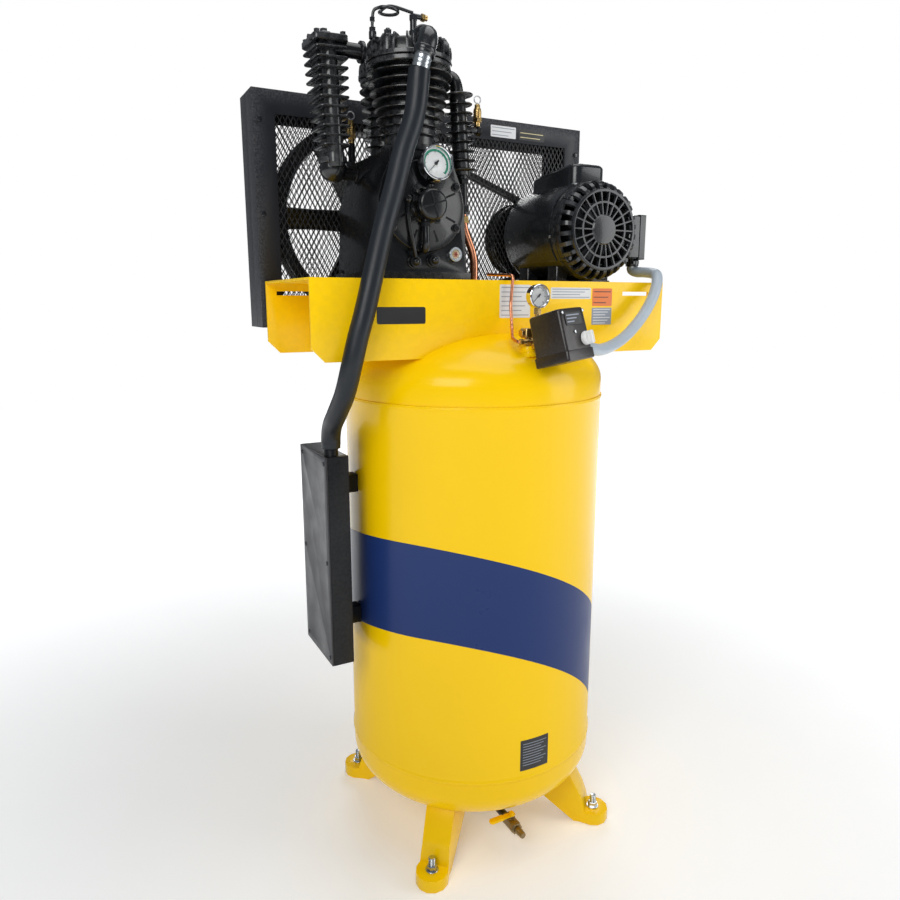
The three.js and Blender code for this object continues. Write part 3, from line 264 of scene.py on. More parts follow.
BLUE = surface("blue_vinyl", (0.014, 0.036, 0.15), 0.32, vary=0.06, grain=70, bump=0.01, coat=0.05,
               coarse=2.0, gloss=0.2)
LABEL_WHITE = surface("label_white", (0.72, 0.73, 0.74), 0.4, vary=0.04, grain=90, bump=0.02)
LABEL_GREY = surface("label_grey", (0.27, 0.3, 0.36), 0.42, vary=0.08, grain=90, bump=0.02)
LABEL_ORANGE = surface("label_orange", (0.8, 0.19, 0.03), 0.4, vary=0.06, grain=90, bump=0.02)
LABEL_BLACK = surface("label_black", (0.016, 0.016, 0.017), 0.4, vary=0.1, grain=90, bump=0.02)
LABEL_CREAM = surface("label_cream", (0.62, 0.55, 0.3), 0.45, vary=0.08, grain=90, bump=0.02)


def glass_material():
    material, nodes, links = new_material("dial_glass")
    shader = nodes["Principled BSDF"]
    shader.inputs["Roughness"].default_value = 0.04
    shader.inputs["Transmission Weight"].default_value = 1.0
    shader.inputs["IOR"].default_value = 1.1
    where = nodes.new("ShaderNodeTexCoord")
    smear = nodes.new("ShaderNodeTexNoise")
    smear.inputs["Scale"].default_value = 40
    links.new(where.outputs["Object"], smear.inputs["Vector"])
    tint = nodes.new("ShaderNodeMapRange")
    set_range(tint, 0, 1, 0.93, 1.0)
    links.new(smear.outputs["Fac"], tint.inputs["Value"])
    links.new(tint.outputs["Result"], shader.inputs["Base Color"])
    return material


GLASS = glass_material()
SIGHT_RED = surface("sight_mark_red", (0.32, 0.07, 0.035), 0.4, vary=0.15, grain=90, bump=0.02)
SIGHT = surface("sight_lens", (0.4, 0.33, 0.2), 0.12, vary=0.15, grain=60, bump=0.02, coat=0.6)


# ---- mesh building
class Shape:
    """Collects closed forms, drawn in millimetres, for one object."""

    def __init__(self, place=None):
        self.place = place or Matrix.Identity(4)
        self.verts = []
        self.faces = []

    def add(self, verts, faces, local=None):
        base = len(self.verts)
        move = self.place @ (local or Matrix.Identity(4))
        self.verts += [move @ Vector(v) for v in verts]
        self.faces += [tuple(base + i for i in face) for face in faces]
        return self

    def lathe(self, profile, sides=48, local=None, closed=False, start=0.0, span=360.0):
        """Points of [radius, height] turned about local Z. Zero radii become poles."""
        verts, faces, rows = [], [], []
        whole = span >= 360
        count = sides if whole else sides + 1
        for radius, height in profile:
            if radius < 1e-6:
                rows.append([len(verts)])
                verts.append((0, 0, height))
                continue
            row = []
            for i in range(count):
                angle = math.radians(start + span * i / sides)
                row.append(len(verts))
                verts.append((radius * math.cos(angle), radius * math.sin(angle), height))
            rows.append(row)
        pairs = list(zip(rows, rows[1:] + rows[:1])) if closed else list(zip(rows, rows[1:]))
        for low, high in pairs:
            for i in range(sides):
                j = (i + 1) % count
                corners = [low[i % len(low)], low[j % len(low)], high[j % len(high)], high[i % len(high)]]
                face = []
                for corner in corners:
                    if corner not in face:
                        face.append(corner)
                if len(face) > 2:
                    faces.append(tuple(face))
        if not whole:
            if closed:
                faces.append(tuple(row[0] for row in rows))
                faces.append(tuple(row[-1] for row in reversed(rows)))
        return self.add(verts, faces, local)

    def bar(self, radius, z0, z1, sides=32, local=None, end=None, soft=0.0):
        """A round bar along local Z, with its rims rounded by soft."""
        end = radius if end is None else end
        profile = [(0, z0), (radius, z0), (end, z1), (0, z1)]
        if soft:
            near = soft * 0.3
            profile = [(0, z0), (radius - soft, z0), (radius - near, z0 + near), (radius, z0 + soft),
                       (end, z1 - soft), (end - near, z1 - near), (end - soft, z1), (0, z1)]
        return self.lathe(profile, sides, local)

    def ring(self, inner, outer, z0, z1, sides=48, local=None, soft=0.6):
        profile = [(inner, z0 + soft), (inner + soft, z0), (outer - soft, z0), (outer, z0 + soft),
                   (outer, z1 - soft), (outer - soft, z1), (inner + soft, z1), (inner, z1 - soft)]
        return self.lathe(profile, sides, local, closed=True)

    def prism(self, outline, z0, z1, local=None):
        count = len(outline)
        verts = [(x, y, z0) for x, y in outline] + [(x, y, z1) for x, y in outline]
        faces = [tuple(reversed(range(count))), tuple(range(count, 2 * count))]
        faces += [(i, (i + 1) % count, count + (i + 1) % count, count + i) for i in range(count)]
        return self.add(verts, faces, local)

    def box(self, x0, x1, y0, y1, z0, z1, local=None):
        return self.prism([(x0, y0), (x1, y0), (x1, y1), (x0, y1)], z0, z1, local)

    def stepped(self, x0, x1, y0, y1, levels, corner, local=None):
        """A box with rounded upright edges, drawn in by its own inset at each height."""
        loops = []
        for z, inset in levels:
            edge = rounded(x0 + inset, x1 - inset, y0 + inset, y1 - inset, corner)
            loops.append([(x, y, z) for x, y in edge])
        return self.loft(loops, local)

    def round_box(self, x0, x1, y0, y1, z0, z1, corner, local=None, lip=0.0):
        """A box whose upright edges are rounded, and whose top and bottom rims are softened by lip."""
        levels = [(z0, 0), (z1, 0)]
        if lip:
            levels = [(z0, lip), (z0 + lip, 0), (z1 - lip, 0), (z1 - lip * 0.3, lip * 0.3), (z1, lip)]
        return self.stepped(x0, x1, y0, y1, levels, corner, local)

    def loft(self, loops, local=None, caps=True):
        count = len(loops[0])
        verts = [point for loop in loops for point in loop]
        faces = []
        sides = [(i, (i + 1) % count) for i in range(count)]
        for level in range(len(loops) - 1):
            base, above = level * count, (level + 1) * count
            faces += [(base + i, base + j, above + j, above + i) for i, j in sides]
        if caps:
            faces.append(tuple(reversed(range(count))))
            faces.append(tuple(range((len(loops) - 1) * count, len(loops) * count)))
        return self.add(verts, faces, local)

    def nut(self, radius, z0, z1, local=None):
        """A hexagon with a chamfered top."""
        def hexagon(r, z):
            return [(r * math.cos(math.pi * i / 3), r * math.sin(math.pi * i / 3), z) for i in range(6)]
        chamfer = radius * 0.12
        levels = [hexagon(radius, z0), hexagon(radius, z1 - chamfer), hexagon(radius * 0.86, z1)]
        return self.loft(levels, local)

    def ball(self, radius, centre=(0, 0, 0), sides=24, local=None):
        steps = sides // 2
        angles = [math.pi * i / steps for i in range(steps + 1)]
        profile = [(radius * math.sin(a), -radius * math.cos(a)) for a in angles]
        profile[0] = (0, -radius)
        profile[-1] = (0, radius)
        place = (local or Matrix.Identity(4)) @ shift(*centre)
        return self.lathe(profile, sides, place)

    def tube(self, points, radius, sides=16, local=None, steps=0, width=None):
        """A round tube along a smooth curve through the points; width(share) changes its radius."""
        path = smooth_path(points, steps) if steps else [Vector(p) for p in points]
        loops = []
        tangent = (path[1] - path[0]).normalized()
        side = tangent.orthogonal().normalized()
        for i, point in enumerate(path):
            ahead = path[min(i + 1, len(path) - 1)] - path[max(i - 1, 0)]
            fresh = ahead.normalized()
            side = (tangent.rotation_difference(fresh) @ side).normalized()
            tangent = fresh
            other = tangent.cross(side)
            r = radius * (width(i / (len(path) - 1)) if width else 1)
            loops.append([point + (side * math.cos(a) + other * math.sin(a)) * r
                          for a in (2 * math.pi * k / sides for k in range(sides))])
        return self.loft(loops, local)

    def done(self, name, material, body="frame", stands_for=(), bevel=0.0, segments=2, crease=35, slot=None):
        mesh = bpy.data.meshes.new(name)
        mesh.from_pydata([tuple(WORLD @ v) for v in self.verts], [], self.faces)
        mesh.validate()
        mesh.materials.append(material)
        mesh.polygons.foreach_set("use_smooth", [True] * len(mesh.polygons))
        mesh.set_sharp_from_angle(angle=math.radians(crease))
        obj = bpy.data.objects.new(name, mesh)
        bpy.context.scene.collection.objects.link(obj)
        if bevel:
            soften(obj, bevel, segments)
        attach(obj, body)
        if stands_for:
            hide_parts(*([stands_for] if isinstance(stands_for, str) else stands_for))
        return obj


def soften(obj, width, segments=2):
    modifier = obj.modifiers.new("edges", "BEVEL")
    modifier.width = width * 0.001
    modifier.segments = segments
    modifier.limit_method = "ANGLE"
    modifier.angle_limit = math.radians(38)
    modifier.harden_normals = True
    return modifier


def rounded(x0, x1, y0, y1, corner, steps=6):
    outline = []
    for cx, cy, begin in ((x1 - corner, y1 - corner, 0), (x0 + corner, y1 - corner, 90),
                          (x0 + corner, y0 + corner, 180), (x1 - corner, y0 + corner, 270)):
        for i in range(steps + 1):
            angle = math.radians(begin + 90 * i / steps)
            outline.append((cx + corner * math.cos(angle), cy + corner * math.sin(angle)))
    return outline


def smooth_path(points, steps):
    """A centripetal Catmull-Rom curve, sampled at even lengths."""
    pts = [Vector(p) for p in points]
    pts = [pts[0] * 2 - pts[1]] + pts + [pts[-1] * 2 - pts[-2]]
    dense = []
    for i in range(1, len(pts) - 2):
        p0, p1, p2, p3 = pts[i - 1:i + 3]
        t0 = 0
        t1 = t0 + (p1 - p0).length ** 0.5
        t2 = t1 + (p2 - p1).length ** 0.5
        t3 = t2 + (p3 - p2).length ** 0.5
        for k in range(16):
            t = t1 + (t2 - t1) * k / 16

            def between(a, b, low, high):
                return a * ((high - t) / (high - low)) + b * ((t - low) / (high - low))
            a1, a2, a3 = between(p0, p1, t0, t1), between(p1, p2, t1, t2), between(p2, p3, t2, t3)
            dense.append(between(between(a1, a2, t0, t2), between(a2, a3, t1, t3), t1, t2))
    dense.append(pts[-2])
    lengths = [0]
    for a, b in zip(dense, dense[1:]):
        lengths.append(lengths[-1] + (b - a).length)
    path, k = [], 0
    for i in range(steps + 1):
        want = lengths[-1] * i / steps
        while k < len(dense) - 2 and lengths[k + 1] < want:
            k += 1
        share = (want - lengths[k]) / max(lengths[k + 1] - lengths[k], 1e-9)
        path.append(dense[k].lerp(dense[k + 1], min(1, share)))
    return path


def bent(corners, bend):
    """A pipe's route with rounded corners."""
    at = [Vector(c) for c in corners]
    route = [at[0]]
    for before, here, after in zip(at, at[1:], at[2:]):
        start = here + (before - here).normalized() * bend
        stop = here + (after - here).normalized() * bend
        for i in range(9):
            t = i / 8
            route.append(start * (1 - t) ** 2 + here * 2 * t * (1 - t) + stop * t ** 2)
    route.append(at[-1])
    return route


def shading_group():
    """Nodes that shade every face smooth, except across edges sharper than a set angle."""
    group = bpy.data.node_groups.new("smooth_by_angle", "GeometryNodeTree")
    group.interface.new_socket("Geometry", in_out="INPUT", socket_type="NodeSocketGeometry")
    group.interface.new_socket("Geometry", in_out="OUTPUT", socket_type="NodeSocketGeometry")
    nodes, links = group.nodes, group.links
    enter = nodes.new("NodeGroupInput")
    leave = nodes.new("NodeGroupOutput")
    faces = nodes.new("GeometryNodeSetShadeSmooth")
    faces.domain = "FACE"
    faces.inputs["Shade Smooth"].default_value = True
    edges = nodes.new("GeometryNodeSetShadeSmooth")
    edges.domain = "EDGE"
    angle = nodes.new("GeometryNodeInputMeshEdgeAngle")
    sharp = nodes.new("FunctionNodeCompare")
    sharp.data_type = "FLOAT"
    sharp.operation = "LESS_THAN"
    sharp.inputs[1].default_value = math.radians(34)
    links.new(enter.outputs[0], faces.inputs["Geometry"])
    links.new(faces.outputs["Geometry"], edges.inputs["Geometry"])
    links.new(angle.outputs["Unsigned Angle"], sharp.inputs[0])
    links.new(sharp.outputs["Result"], edges.inputs["Shade Smooth"])
    links.new(edges.outputs["Geometry"], leave.inputs[0])
    return group


SMOOTH = shading_group()


def keep(node, material, bevel=0.0, segments=2):
    """Shows a CAD node itself, with welded facets, softened edges and smooth shading."""
    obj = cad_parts[node]
    obj.data.materials.clear()
    obj.data.materials.append(material)
    weld = obj.modifiers.new("weld", "WELD")
    weld.merge_threshold = 0.00002
    flat = obj.modifiers.new("flat", "DECIMATE")
    flat.decimate_type = "DISSOLVE"
    flat.angle_limit = math.radians(0.6)
    if bevel:
        soften(obj, bevel, segments).harden_normals = False
    shade = obj.modifiers.new("shade", "NODES")
    shade.node_group = SMOOTH
    return obj


# ---- tank
def head_profile(radius, depth, steps=30):
    angles = [math.pi / 2 * i / steps for i in range(steps + 1)]
    points = [(radius * math.sin(a), HEAD_SKIRT + depth * math.cos(a)) for a in angles]
    points[0] = (0, HEAD_SKIRT + depth)
    return points + [(radius, 0.4)]


def tank_head(name, place, ports):
    head = Shape(place)
    outer = head_profile(TANK_RADIUS, HEAD_DEPTH)
    inner = head_profile(TANK_RADIUS - 5, HEAD_DEPTH - 5)
    head.lathe(outer + inner[::-1], 144)
    for x, y, radius, low, high in ports:
        head.bar(radius, low, high, 32, shift(x, y, 0), soft=1.5)
        foot = high - 12
        collar = [(radius - 1, foot - 6), (radius + 7, foot - 9), (radius + 4, foot - 3), (radius, foot + 1)]
        head.lathe(collar, 32, shift(x, y, 0))
    return head.done(name, YELLOW, stands_for=name[:-7], crease=40)


shell = Shape()
rim = [(299.7, 0.4), (306.4, 0.4), (307.1, 1.2), (307.1, 4.5), (306.2, 7), (TANK_RADIUS, 10)]
lower, upper = [(r, BOTTOM_SEAM + z) for r, z in rim], [(r, TOP_SEAM - z) for r, z in rim[::-1]]
shell.lathe(lower + upper, 160, closed=True)
shell.done("tank_shell_smooth", YELLOW, stands_for="tank_shell", crease=50)
tank_head("top_head_smooth", shift(0, 0, TOP_SEAM), [(-6, -246, 17, 88, 120.6), (-9, -20, 22, 150, 183.6)])
tank_head("bottom_head_smooth", shift(0, 0, BOTTOM_SEAM) @ turn(180), [(0, 0, 18, 150, 171.6)])


def weld_bead(name, z):
    """A rippled weld bead round the tank, in the joint between the shell and a head."""
    bead = Shape()
    loops = []
    count = 720
    for i in range(count):
        angle = 2 * math.pi * i / count
        swell = 1.5 + 0.28 * math.cos(i * 2 * math.pi / 4) + random.uniform(-0.12, 0.12)
        section = []
        for k in range(8):
            a = 2 * math.pi * k / 8
            radius = TANK_RADIUS + 1.2 + swell * math.cos(a)
            rise = 2.0 * swell / 1.5 * math.sin(a)
            section.append((radius * math.cos(angle), radius * math.sin(angle), z + rise))
        loops.append(section)
    verts = [p for loop in loops for p in loop]
    faces = [(i * 8 + k, ((i + 1) % count) * 8 + k, ((i + 1) % count) * 8 + (k + 1) % 8, i * 8 + (k + 1) % 8)
             for i in range(count) for k in range(8)]
    bead.add(verts, faces)
    return bead.done(name, YELLOW, crease=180)


weld_bead("weld_bead_low", BOTTOM_SEAM)
weld_bead("weld_bead_high", TOP_SEAM)


def wrapped(name, material, edge_low, edge_high, start, stop, height, steps=150):
    """A thin vinyl strip wrapped on the shell between two edges given as functions of the angle."""
    loops = []
    inner, outer = TANK_RADIUS + 0.05, TANK_RADIUS + height
    for i in range(steps + 1):
        degrees = start + (stop - start) * i / steps
        a = math.radians(degrees)
        low, high = edge_low(degrees), edge_high(degrees)
        loops.append([(r * math.cos(a), r * math.sin(a), z) for r, z in
                      ((inner, low), (outer, low), (outer, high), (inner, high))])
    return Shape().loft(loops).done(name, material, crease=30)


def band_top(degrees):
    away = degrees - 213
    return 797 - (0.0207 if away > 0 else 0.0118) * away * away


def band_bottom(degrees):
    away = degrees - 220
    return 584 - (0.0262 if away > 0 else 0.0118) * away * away


wrapped("tank_band", BLUE, band_bottom, band_top, 148, 316, 0.45)
wrapped("tank_label", LABEL_BLACK, lambda d: 262, lambda d: 338, 262, 276, 0.4, 14)
for row in range(9):
    z = 327 - row * 6.6
    wrapped(f"tank_label_line_{row}", LABEL_GREY, lambda d: z, lambda d: z + 1.6, 263.2,
            274.8 - (row % 3) * 1.3, 0.55, 12)

# ---- legs, foot bolts and drain
for number, angle in enumerate((45, 135, 225, 315), 1):
    keep(f"leg_{number}", YELLOW, bevel=5, segments=4)
    bolt = Shape(turn(0, 0, angle) @ shift(328, 0, 0))
    bolt.ring(7.2, 15, 30.2, 33, 32)
    bolt.nut(12, 33, 44)
    bolt.bar(7, 6, 62.5, 20, soft=1.0)
    for i in range(8):
        bolt.ring(6.6, 7.9, 45 + i * 2.2, 46.4 + i * 2.2, 20, soft=0.5)
    bolt.done(f"foot_bolt_{number}_detail", ZINC, stands_for=f"foot_bolt_{number}", bevel=0.4)

DRAIN = shift(0, 0, 48)
DRAIN_Y = -206
drain = Shape(DRAIN)
drain.tube(bent([(0, 0, 19), (0, 0, 0), (0, DRAIN_Y + 14, 0)], 16), 10, 24)
drain.ring(9, 14.5, -8, 8, 6, to_front(0, -34, 0))
drain.done("drain_pipe", CAST, stands_for="drain_valve")
valve = Shape(DRAIN @ shift(0, DRAIN_Y, 0))
valve.bar(15, -22, 22, 8, TO_Y, soft=1.6)
valve.nut(16, 14, 24, TO_Y @ turn(180))
valve.nut(15, 16, 27, TO_Y)
valve.bar(9, 26, 40, 24, TO_Y, soft=1)
for i in range(3):
    valve.bar(8.4, 38 + i * 5, 43 + i * 5, 24, TO_Y, end=7)
valve.bar(6, 10, 20.6, 20, soft=0.6)
valve.ring(5.5, 9, 12, 16, 24)
valve.done("drain_valve_body", OLD_BRASS, bevel=0.5)
lever = Shape(DRAIN @ shift(0, DRAIN_Y, 21.3))
lever.prism(rounded(-60, 9, -7, 7, 5), 0, 3)
lever.round_box(-62, -22, -8, 8, -2.2, 5.2, 6, lip=1.5)
lever.nut(7, 3, 8)
lever.done("drain_lever_detail", DECK_YELLOW, "drain_lever", "drain_handle", bevel=0.5)

# ---- platform and its labels
keep("platform", DECK_YELLOW, bevel=1.8, segments=3)


def label(name, x0, x1, z0, z1, material, y=-162.0, corner=2.0, lines=0, line_material=None):
    """A plain label on a face that looks towards -Y, with bare lines in place of print."""
    height = 0.4
    local = to_front(0, y, 0)
    Shape().prism(rounded(x0, x1, z0, z1, corner, 3), 0, height, local).done(name, material)
    if lines:
        rows = Shape()
        for i in range(lines):
            z = z1 - (z1 - z0) * (i + 0.6) / (lines + 0.2)
            end = x1 - 4 - (i % 3) * 0.12 * (x1 - x0)
            rows.box(x0 + 4, end, z - 0.9, z + 0.9, height, height + 0.15, local)
        rows.done(name + "_lines", line_material)


label("deck_label_square", -26, 53, 1272, 1343, LABEL_WHITE, lines=7, line_material=LABEL_GREY)
label("deck_label_long", 108, 221, 1313, 1338, LABEL_WHITE, lines=4, line_material=LABEL_GREY)
label("deck_label_orange", 226, 284, 1297, 1337, LABEL_ORANGE, lines=3, line_material=LABEL_BLACK)
label("deck_label_grey", 226, 284, 1254, 1293, LABEL_GREY, lines=6, line_material=LABEL_WHITE)
label("deck_label_dark", -313, -205, 1262, 1296, LABEL_BLACK, corner=4)

# ---- belt guard
GUARD = dict(left=-457, right=434, front=175, bottom=1248, top=1764)
for node in ("guard_front_frame", "guard_back_frame"):
    keep(node, CHARCOAL, bevel=1.0, segments=2)

MESH_PITCH_X = 12.6
MESH_PITCH_Z = 22.6


def expanded_metal(name, y, node, holes):
    """Slit and stretched sheet: every strand slopes a little through the sheet's thickness."""
    half_x, half_z = MESH_PITCH_X / 2, MESH_PITCH_Z / 2
    x0, x1 = GUARD["left"] + 36, GUARD["right"] - 36
    z0, z1 = GUARD["bottom"] + 36, GUARD["top"] - 36
    rows = int((z1 - z0) / half_z)
    columns = int((x1 - x0) / MESH_PITCH_X)
    strand, thick, lean = 0.95, 0.75, 0.3
    panel = Shape()
    for row in range(rows):
        for column in range(columns):
            x = x0 + (column + 0.5 * (row % 2) + 0.5) * MESH_PITCH_X
            z = z0 + row * half_z
            for side in (-1, 1):
                mx, mz = x + side * half_x / 2, z + half_z / 2
                if any((mx - hx) ** 2 + (mz - hz) ** 2 < radius * radius for hx, hz, radius in holes):
                    continue
                loops = []
                ends = ((x, z - 1.2, y - lean), (x + side * half_x, z + half_z + 1.2, y + lean))
                for ex, ez, middle in ends:
                    loops.append([(ex - strand, middle - thick, ez), (ex + strand, middle - thick, ez),
                                  (ex + strand, middle + thick, ez), (ex - strand, middle + thick, ez)])
                panel.loft(loops)
    return panel.done(name, MESH_BLACK, stands_for=node, crease=20)


shaft_holes = [(CRANK.x, CRANK.z, 75), (MOTOR.x, MOTOR.z, 50)]
expanded_metal("expanded_metal_front", 178.3, "guard_mesh_front", shaft_holes)
expanded_metal("expanded_metal_back", 277.6, "guard_mesh_back", [])

screws = Shape()
for x in (-390, -150, 120, 380):
    screws.bar(8, 0, 4.5, 24, to_front(x, GUARD["front"] - 0.2, GUARD["bottom"] + 25), soft=1.4)
for x, z in ((-443, 1500), (420, 1500), (-443, 1700), (420, 1700)):
    screws.bar(6, 0, 3.5, 20, to_front(x, GUARD["front"] - 0.2, z), soft=1.2)
screws.done("guard_screws", SATIN)
label("guard_label_white", 150, 226, 1722, 1750, LABEL_WHITE, y=174.9, lines=3, line_material=LABEL_GREY)
label("guard_label_dark", 236, 316, 1722, 1746, LABEL_BLACK, y=174.9, lines=2, line_material=LABEL_CREAM)

# ---- running gear
keep("crankshaft", STEEL, bevel=0.8)
for node in ("low_stage_piston", "high_stage_piston"):
    keep(node, STEEL, bevel=0.4)


def mirrored(half):
    """A whole profile from its upper half."""
    return [(r, -z) for r, z in half] + half[::-1]


def grooved_rim(radius, half):
    """The upper half of a wheel's outside, with one of its two belt grooves."""
    return [(radius - 1.5, half), (radius, half - 1.5), (radius, 19.5), (radius - 6, 17),
            (radius - 10, 15), (radius - 10, 4), (radius - 4, 1)]


def bulged(value, power):
    return math.copysign(abs(value) ** power, value)


wheel = Shape(PUMP @ shift(0, BELT_Y, 0))
wheel.lathe(mirrored([(202, 28)] + grooved_rim(228, 28)) + [(198, 20), (198, -20)], 128, TO_Y, closed=True)
wheel.lathe(mirrored([(20.4, 30), (40, 30), (42, 28), (44, 12)]), 56, TO_Y, closed=True)
for i in range(6):
    loops = []
    for step in range(13):
        share = step / 12
        radius = 38 + (201 - 38) * share
        pitch = math.radians(62 - 8 * share)
        half = 29 - 3 * math.sin(math.pi * share)
        thick = 6.2 - 2.0 * share
        loop = []
        for k in range(16):
            a = 2 * math.pi * k / 16
            across = half * bulged(math.cos(a), 0.5)
            through = thick * bulged(math.sin(a), 0.8) + 3.0 * (across / half) ** 2
            loop.append((radius, across * math.cos(pitch) - through * math.sin(pitch),
                         across * math.sin(pitch) + through * math.cos(pitch)))
        loops.append(loop)
    wheel.loft(loops, Matrix.Rotation(i * math.pi / 3, 4, "Y"))
wheel.done("flywheel_detail", CAST, "flywheel_set", "flywheel", crease=40)

pulley = Shape(MOTOR_AT @ shift(0, BELT_Y, 0))
web = [(14.4, 25), (30, 25), (31, 23), (33, 10), (80, 8), (84, 25)]
pulley.lathe(mirrored(web + grooved_rim(98, 25)), 96, TO_Y, closed=True)
pulley.done("motor_pulley_detail", CAST, "motor_rotor_set", "motor_pulley", crease=40)


def belt_line(extra, steps=72):
    run = Vector((MOTOR.x - CRANK.x, MOTOR.z - CRANK.z))
    big, small = 218 + extra, 88 + extra
    heading = math.degrees(math.atan2(run.y, run.x))
    spread = math.degrees(math.acos((big - small) / run.length))
    points = []
    for cx, cz, r, begin, end in ((0, 0, big, heading + spread, heading - spread + 360),
                                  (run.x, run.y, small, heading - spread, heading + spread)):
        for i in range(steps + 1):
            a = math.radians(begin + (end - begin) * i / steps)
            points.append((cx + r * math.cos(a), cz + r * math.sin(a)))
    return points


belt = Shape(PUMP @ shift(0, BELT_Y, 0))
inner, middle, outer = belt_line(1.6), belt_line(8.5), belt_line(11.6)
for centre in (-9.5, 9.5):
    loops = []
    for (ix, iz), (mx, mz), (ox, oz) in zip(inner, middle, outer):
        loops.append([(ix, centre - 4.6, iz), (mx, centre - 8, mz), (ox, centre - 8, oz),
                      (ox, centre + 8, oz), (mx, centre + 8, mz), (ix, centre + 4.6, iz)])
    belt.loft(loops + [loops[0]], caps=False)
belt.done("drive_belt_pair", BELT_RUBBER, stands_for="drive_belt", crease=40)

# ---- pump block
keep("crankcase", CAST, bevel=4.5, segments=3)
Shape(PUMP @ shift(76, -104.2, -94)).ring(9.5, 15, 0, 7, 32, TO_Y).done("sight_glass_rim", ZINC)
lens = Shape(PUMP @ shift(76, -104.4, -94))
lens.lathe([(0, 0), (10, 0), (10, 4.4), (6, 5.4), (0, 5.8)], 32, TO_Y)
lens.done("sight_glass_lens", SIGHT, stands_for="sight_glass")
cross = Shape(PUMP @ shift(76, -110.2, -94))
for i in range(3):
    cross.box(-6, 6, -1.2, 1.2, 0, 0.6, TO_Y @ turn(0, 0, 60 * i))
cross.done("sight_glass_mark", SIGHT_RED)

cover = Shape(PUMP)
face = to_front(0, -104.3, 0)
cover.lathe([(0, -14), (78, -14), (78, 0), (92, 0), (92, 9), (90, 11.5), (74, 12), (71, 13.6), (52, 14),
             (49, 16), (0, 16)], 72, face)
for spot in around(6, 83.5, 30):
    cover.bar(10.5, 4, 12.6, 24, face @ spot, soft=1)
    cover.nut(7, 12.5, 18.5, face @ spot)
for i in range(8):
    cover.box(50, 76, -2.2, 2.2, 8, 14.6, face @ turn(0, 0, 22.5 + 45 * i))
cover.done("front_cover_detail", CAST, stands_for="front_cover", bevel=0.7, crease=38)

foot_bolts = Shape(PUMP)
for x in (-100, 100):
    for y in (-92, 110):
        foot_bolts.ring(6, 12, -131.6, -129.4, 24, shift(x, y, 0))
        foot_bolts.nut(9.5, -129.4, -121, shift(x, y, 0))
foot_bolts.done("pump_foot_bolts", SATIN, bevel=0.4)

caps = Shape(PUMP)
for x, z in ((-22, -112), (22, -108)):
    spot = to_front(x, -104, z)
    caps.bar(14.5, -2, 5, 32, spot, soft=1)
    caps.nut(12, 5, 12, spot)
    caps.ball(12 * 0.72, (0, 0, 12), 20, spot)
caps.done("oil_caps", CAST, bevel=0.5)

oil = Shape(PUMP @ shift(0, -118.3, 0))
oil.lathe([(0, 0), (36, 0), (36, 5), (33, 8), (31, 12), (31, 28), (32, 30), (32, 34), (30.5, 38), (28, 41),
           (24, 42.4), (0, 43)], 64, TO_Y)
for i in range(2):
    oil.box(-27, 27, -1.8, 1.8, 40.6, 44.4, TO_Y @ turn(0, 0, 18 + 90 * i))
for spot in around(4, 39, 45):
    oil.nut(4.6, 3, 8.5, TO_Y @ spot)
for spot in around(4, 38, 45):
    oil.bar(8, 0, 4.5, 20, TO_Y @ spot, soft=0.8)
oil.nut(10, 28, 36, shift(4, -16, 0))
oil.bar(7, 34, 40, 24, shift(4, -16, 0))
oil.tube([(-6, -14, -22), (-6, -15, -50), (-6, -15, -78), (-6, -8, -88), (-6, 8, -89)], 7.2, 20, steps=26)
oil.nut(11, -42, -32, shift(-6, -14, 0))
oil.nut(10, 0, 12, to_right(-40, -16, 10))
oil.ball(8, (-44, -16, 10), 20)
oil.tube([(-44, -16, 8), (-46, -15, -10), (-40, -12, -46), (-30, -8, -84), (-24, -2, -102)], 4.2, 16,
         steps=30)
oil.done("oil_pump_detail", CAST, stands_for="oil_pump", bevel=0.5, crease=38)


# ---- cylinders and heads
def squared_off(shape, limit, sign):
    """Flattens what passes the split between the two stages."""
    for v in shape.verts:
        if (v.y - limit) * sign > 0:
            v.y = limit
    return shape


def cylinder(name, y, wall, fins, fin_low, fin_high, limit, sign, stands_for):
    barrel = Shape(PUMP @ shift(0, y, BLOCK_TOP + 0.3))
    barrel.ring(wall - 8, wall, 0.5, CYLINDER - 0.5, 72)
    barrel.ring(wall - 9, wall + 9, 0.3, 12, 72, soft=1.5)
    barrel.ring(wall - 9, fin_high - 2, CYLINDER - 11, CYLINDER - 0.3, 72, soft=2)
    for i in range(fins):
        share = i / (fins - 1)
        z = 30 + share * (CYLINDER - 56)
        radius = fin_low + share * (fin_high - fin_low)
        barrel.lathe([(wall - 2, z - 1.6), (wall + 3, z + 0.4), (radius - 1.2, z + 1.2), (radius, z + 2.2),
                      (radius, z + 3.4), (radius - 1.2, z + 4.4), (wall + 3, z + 5.0), (wall - 2, z + 7)],
                     72, closed=True)
    for spot in around(4, wall + 2, 45):
        barrel.nut(7.5, 12, 21, spot)
    squared_off(barrel, limit, sign)
    barrel.done(name, FIN_BLACK_WORN_GLINT_EDGES, stands_for=stands_for, crease=42)


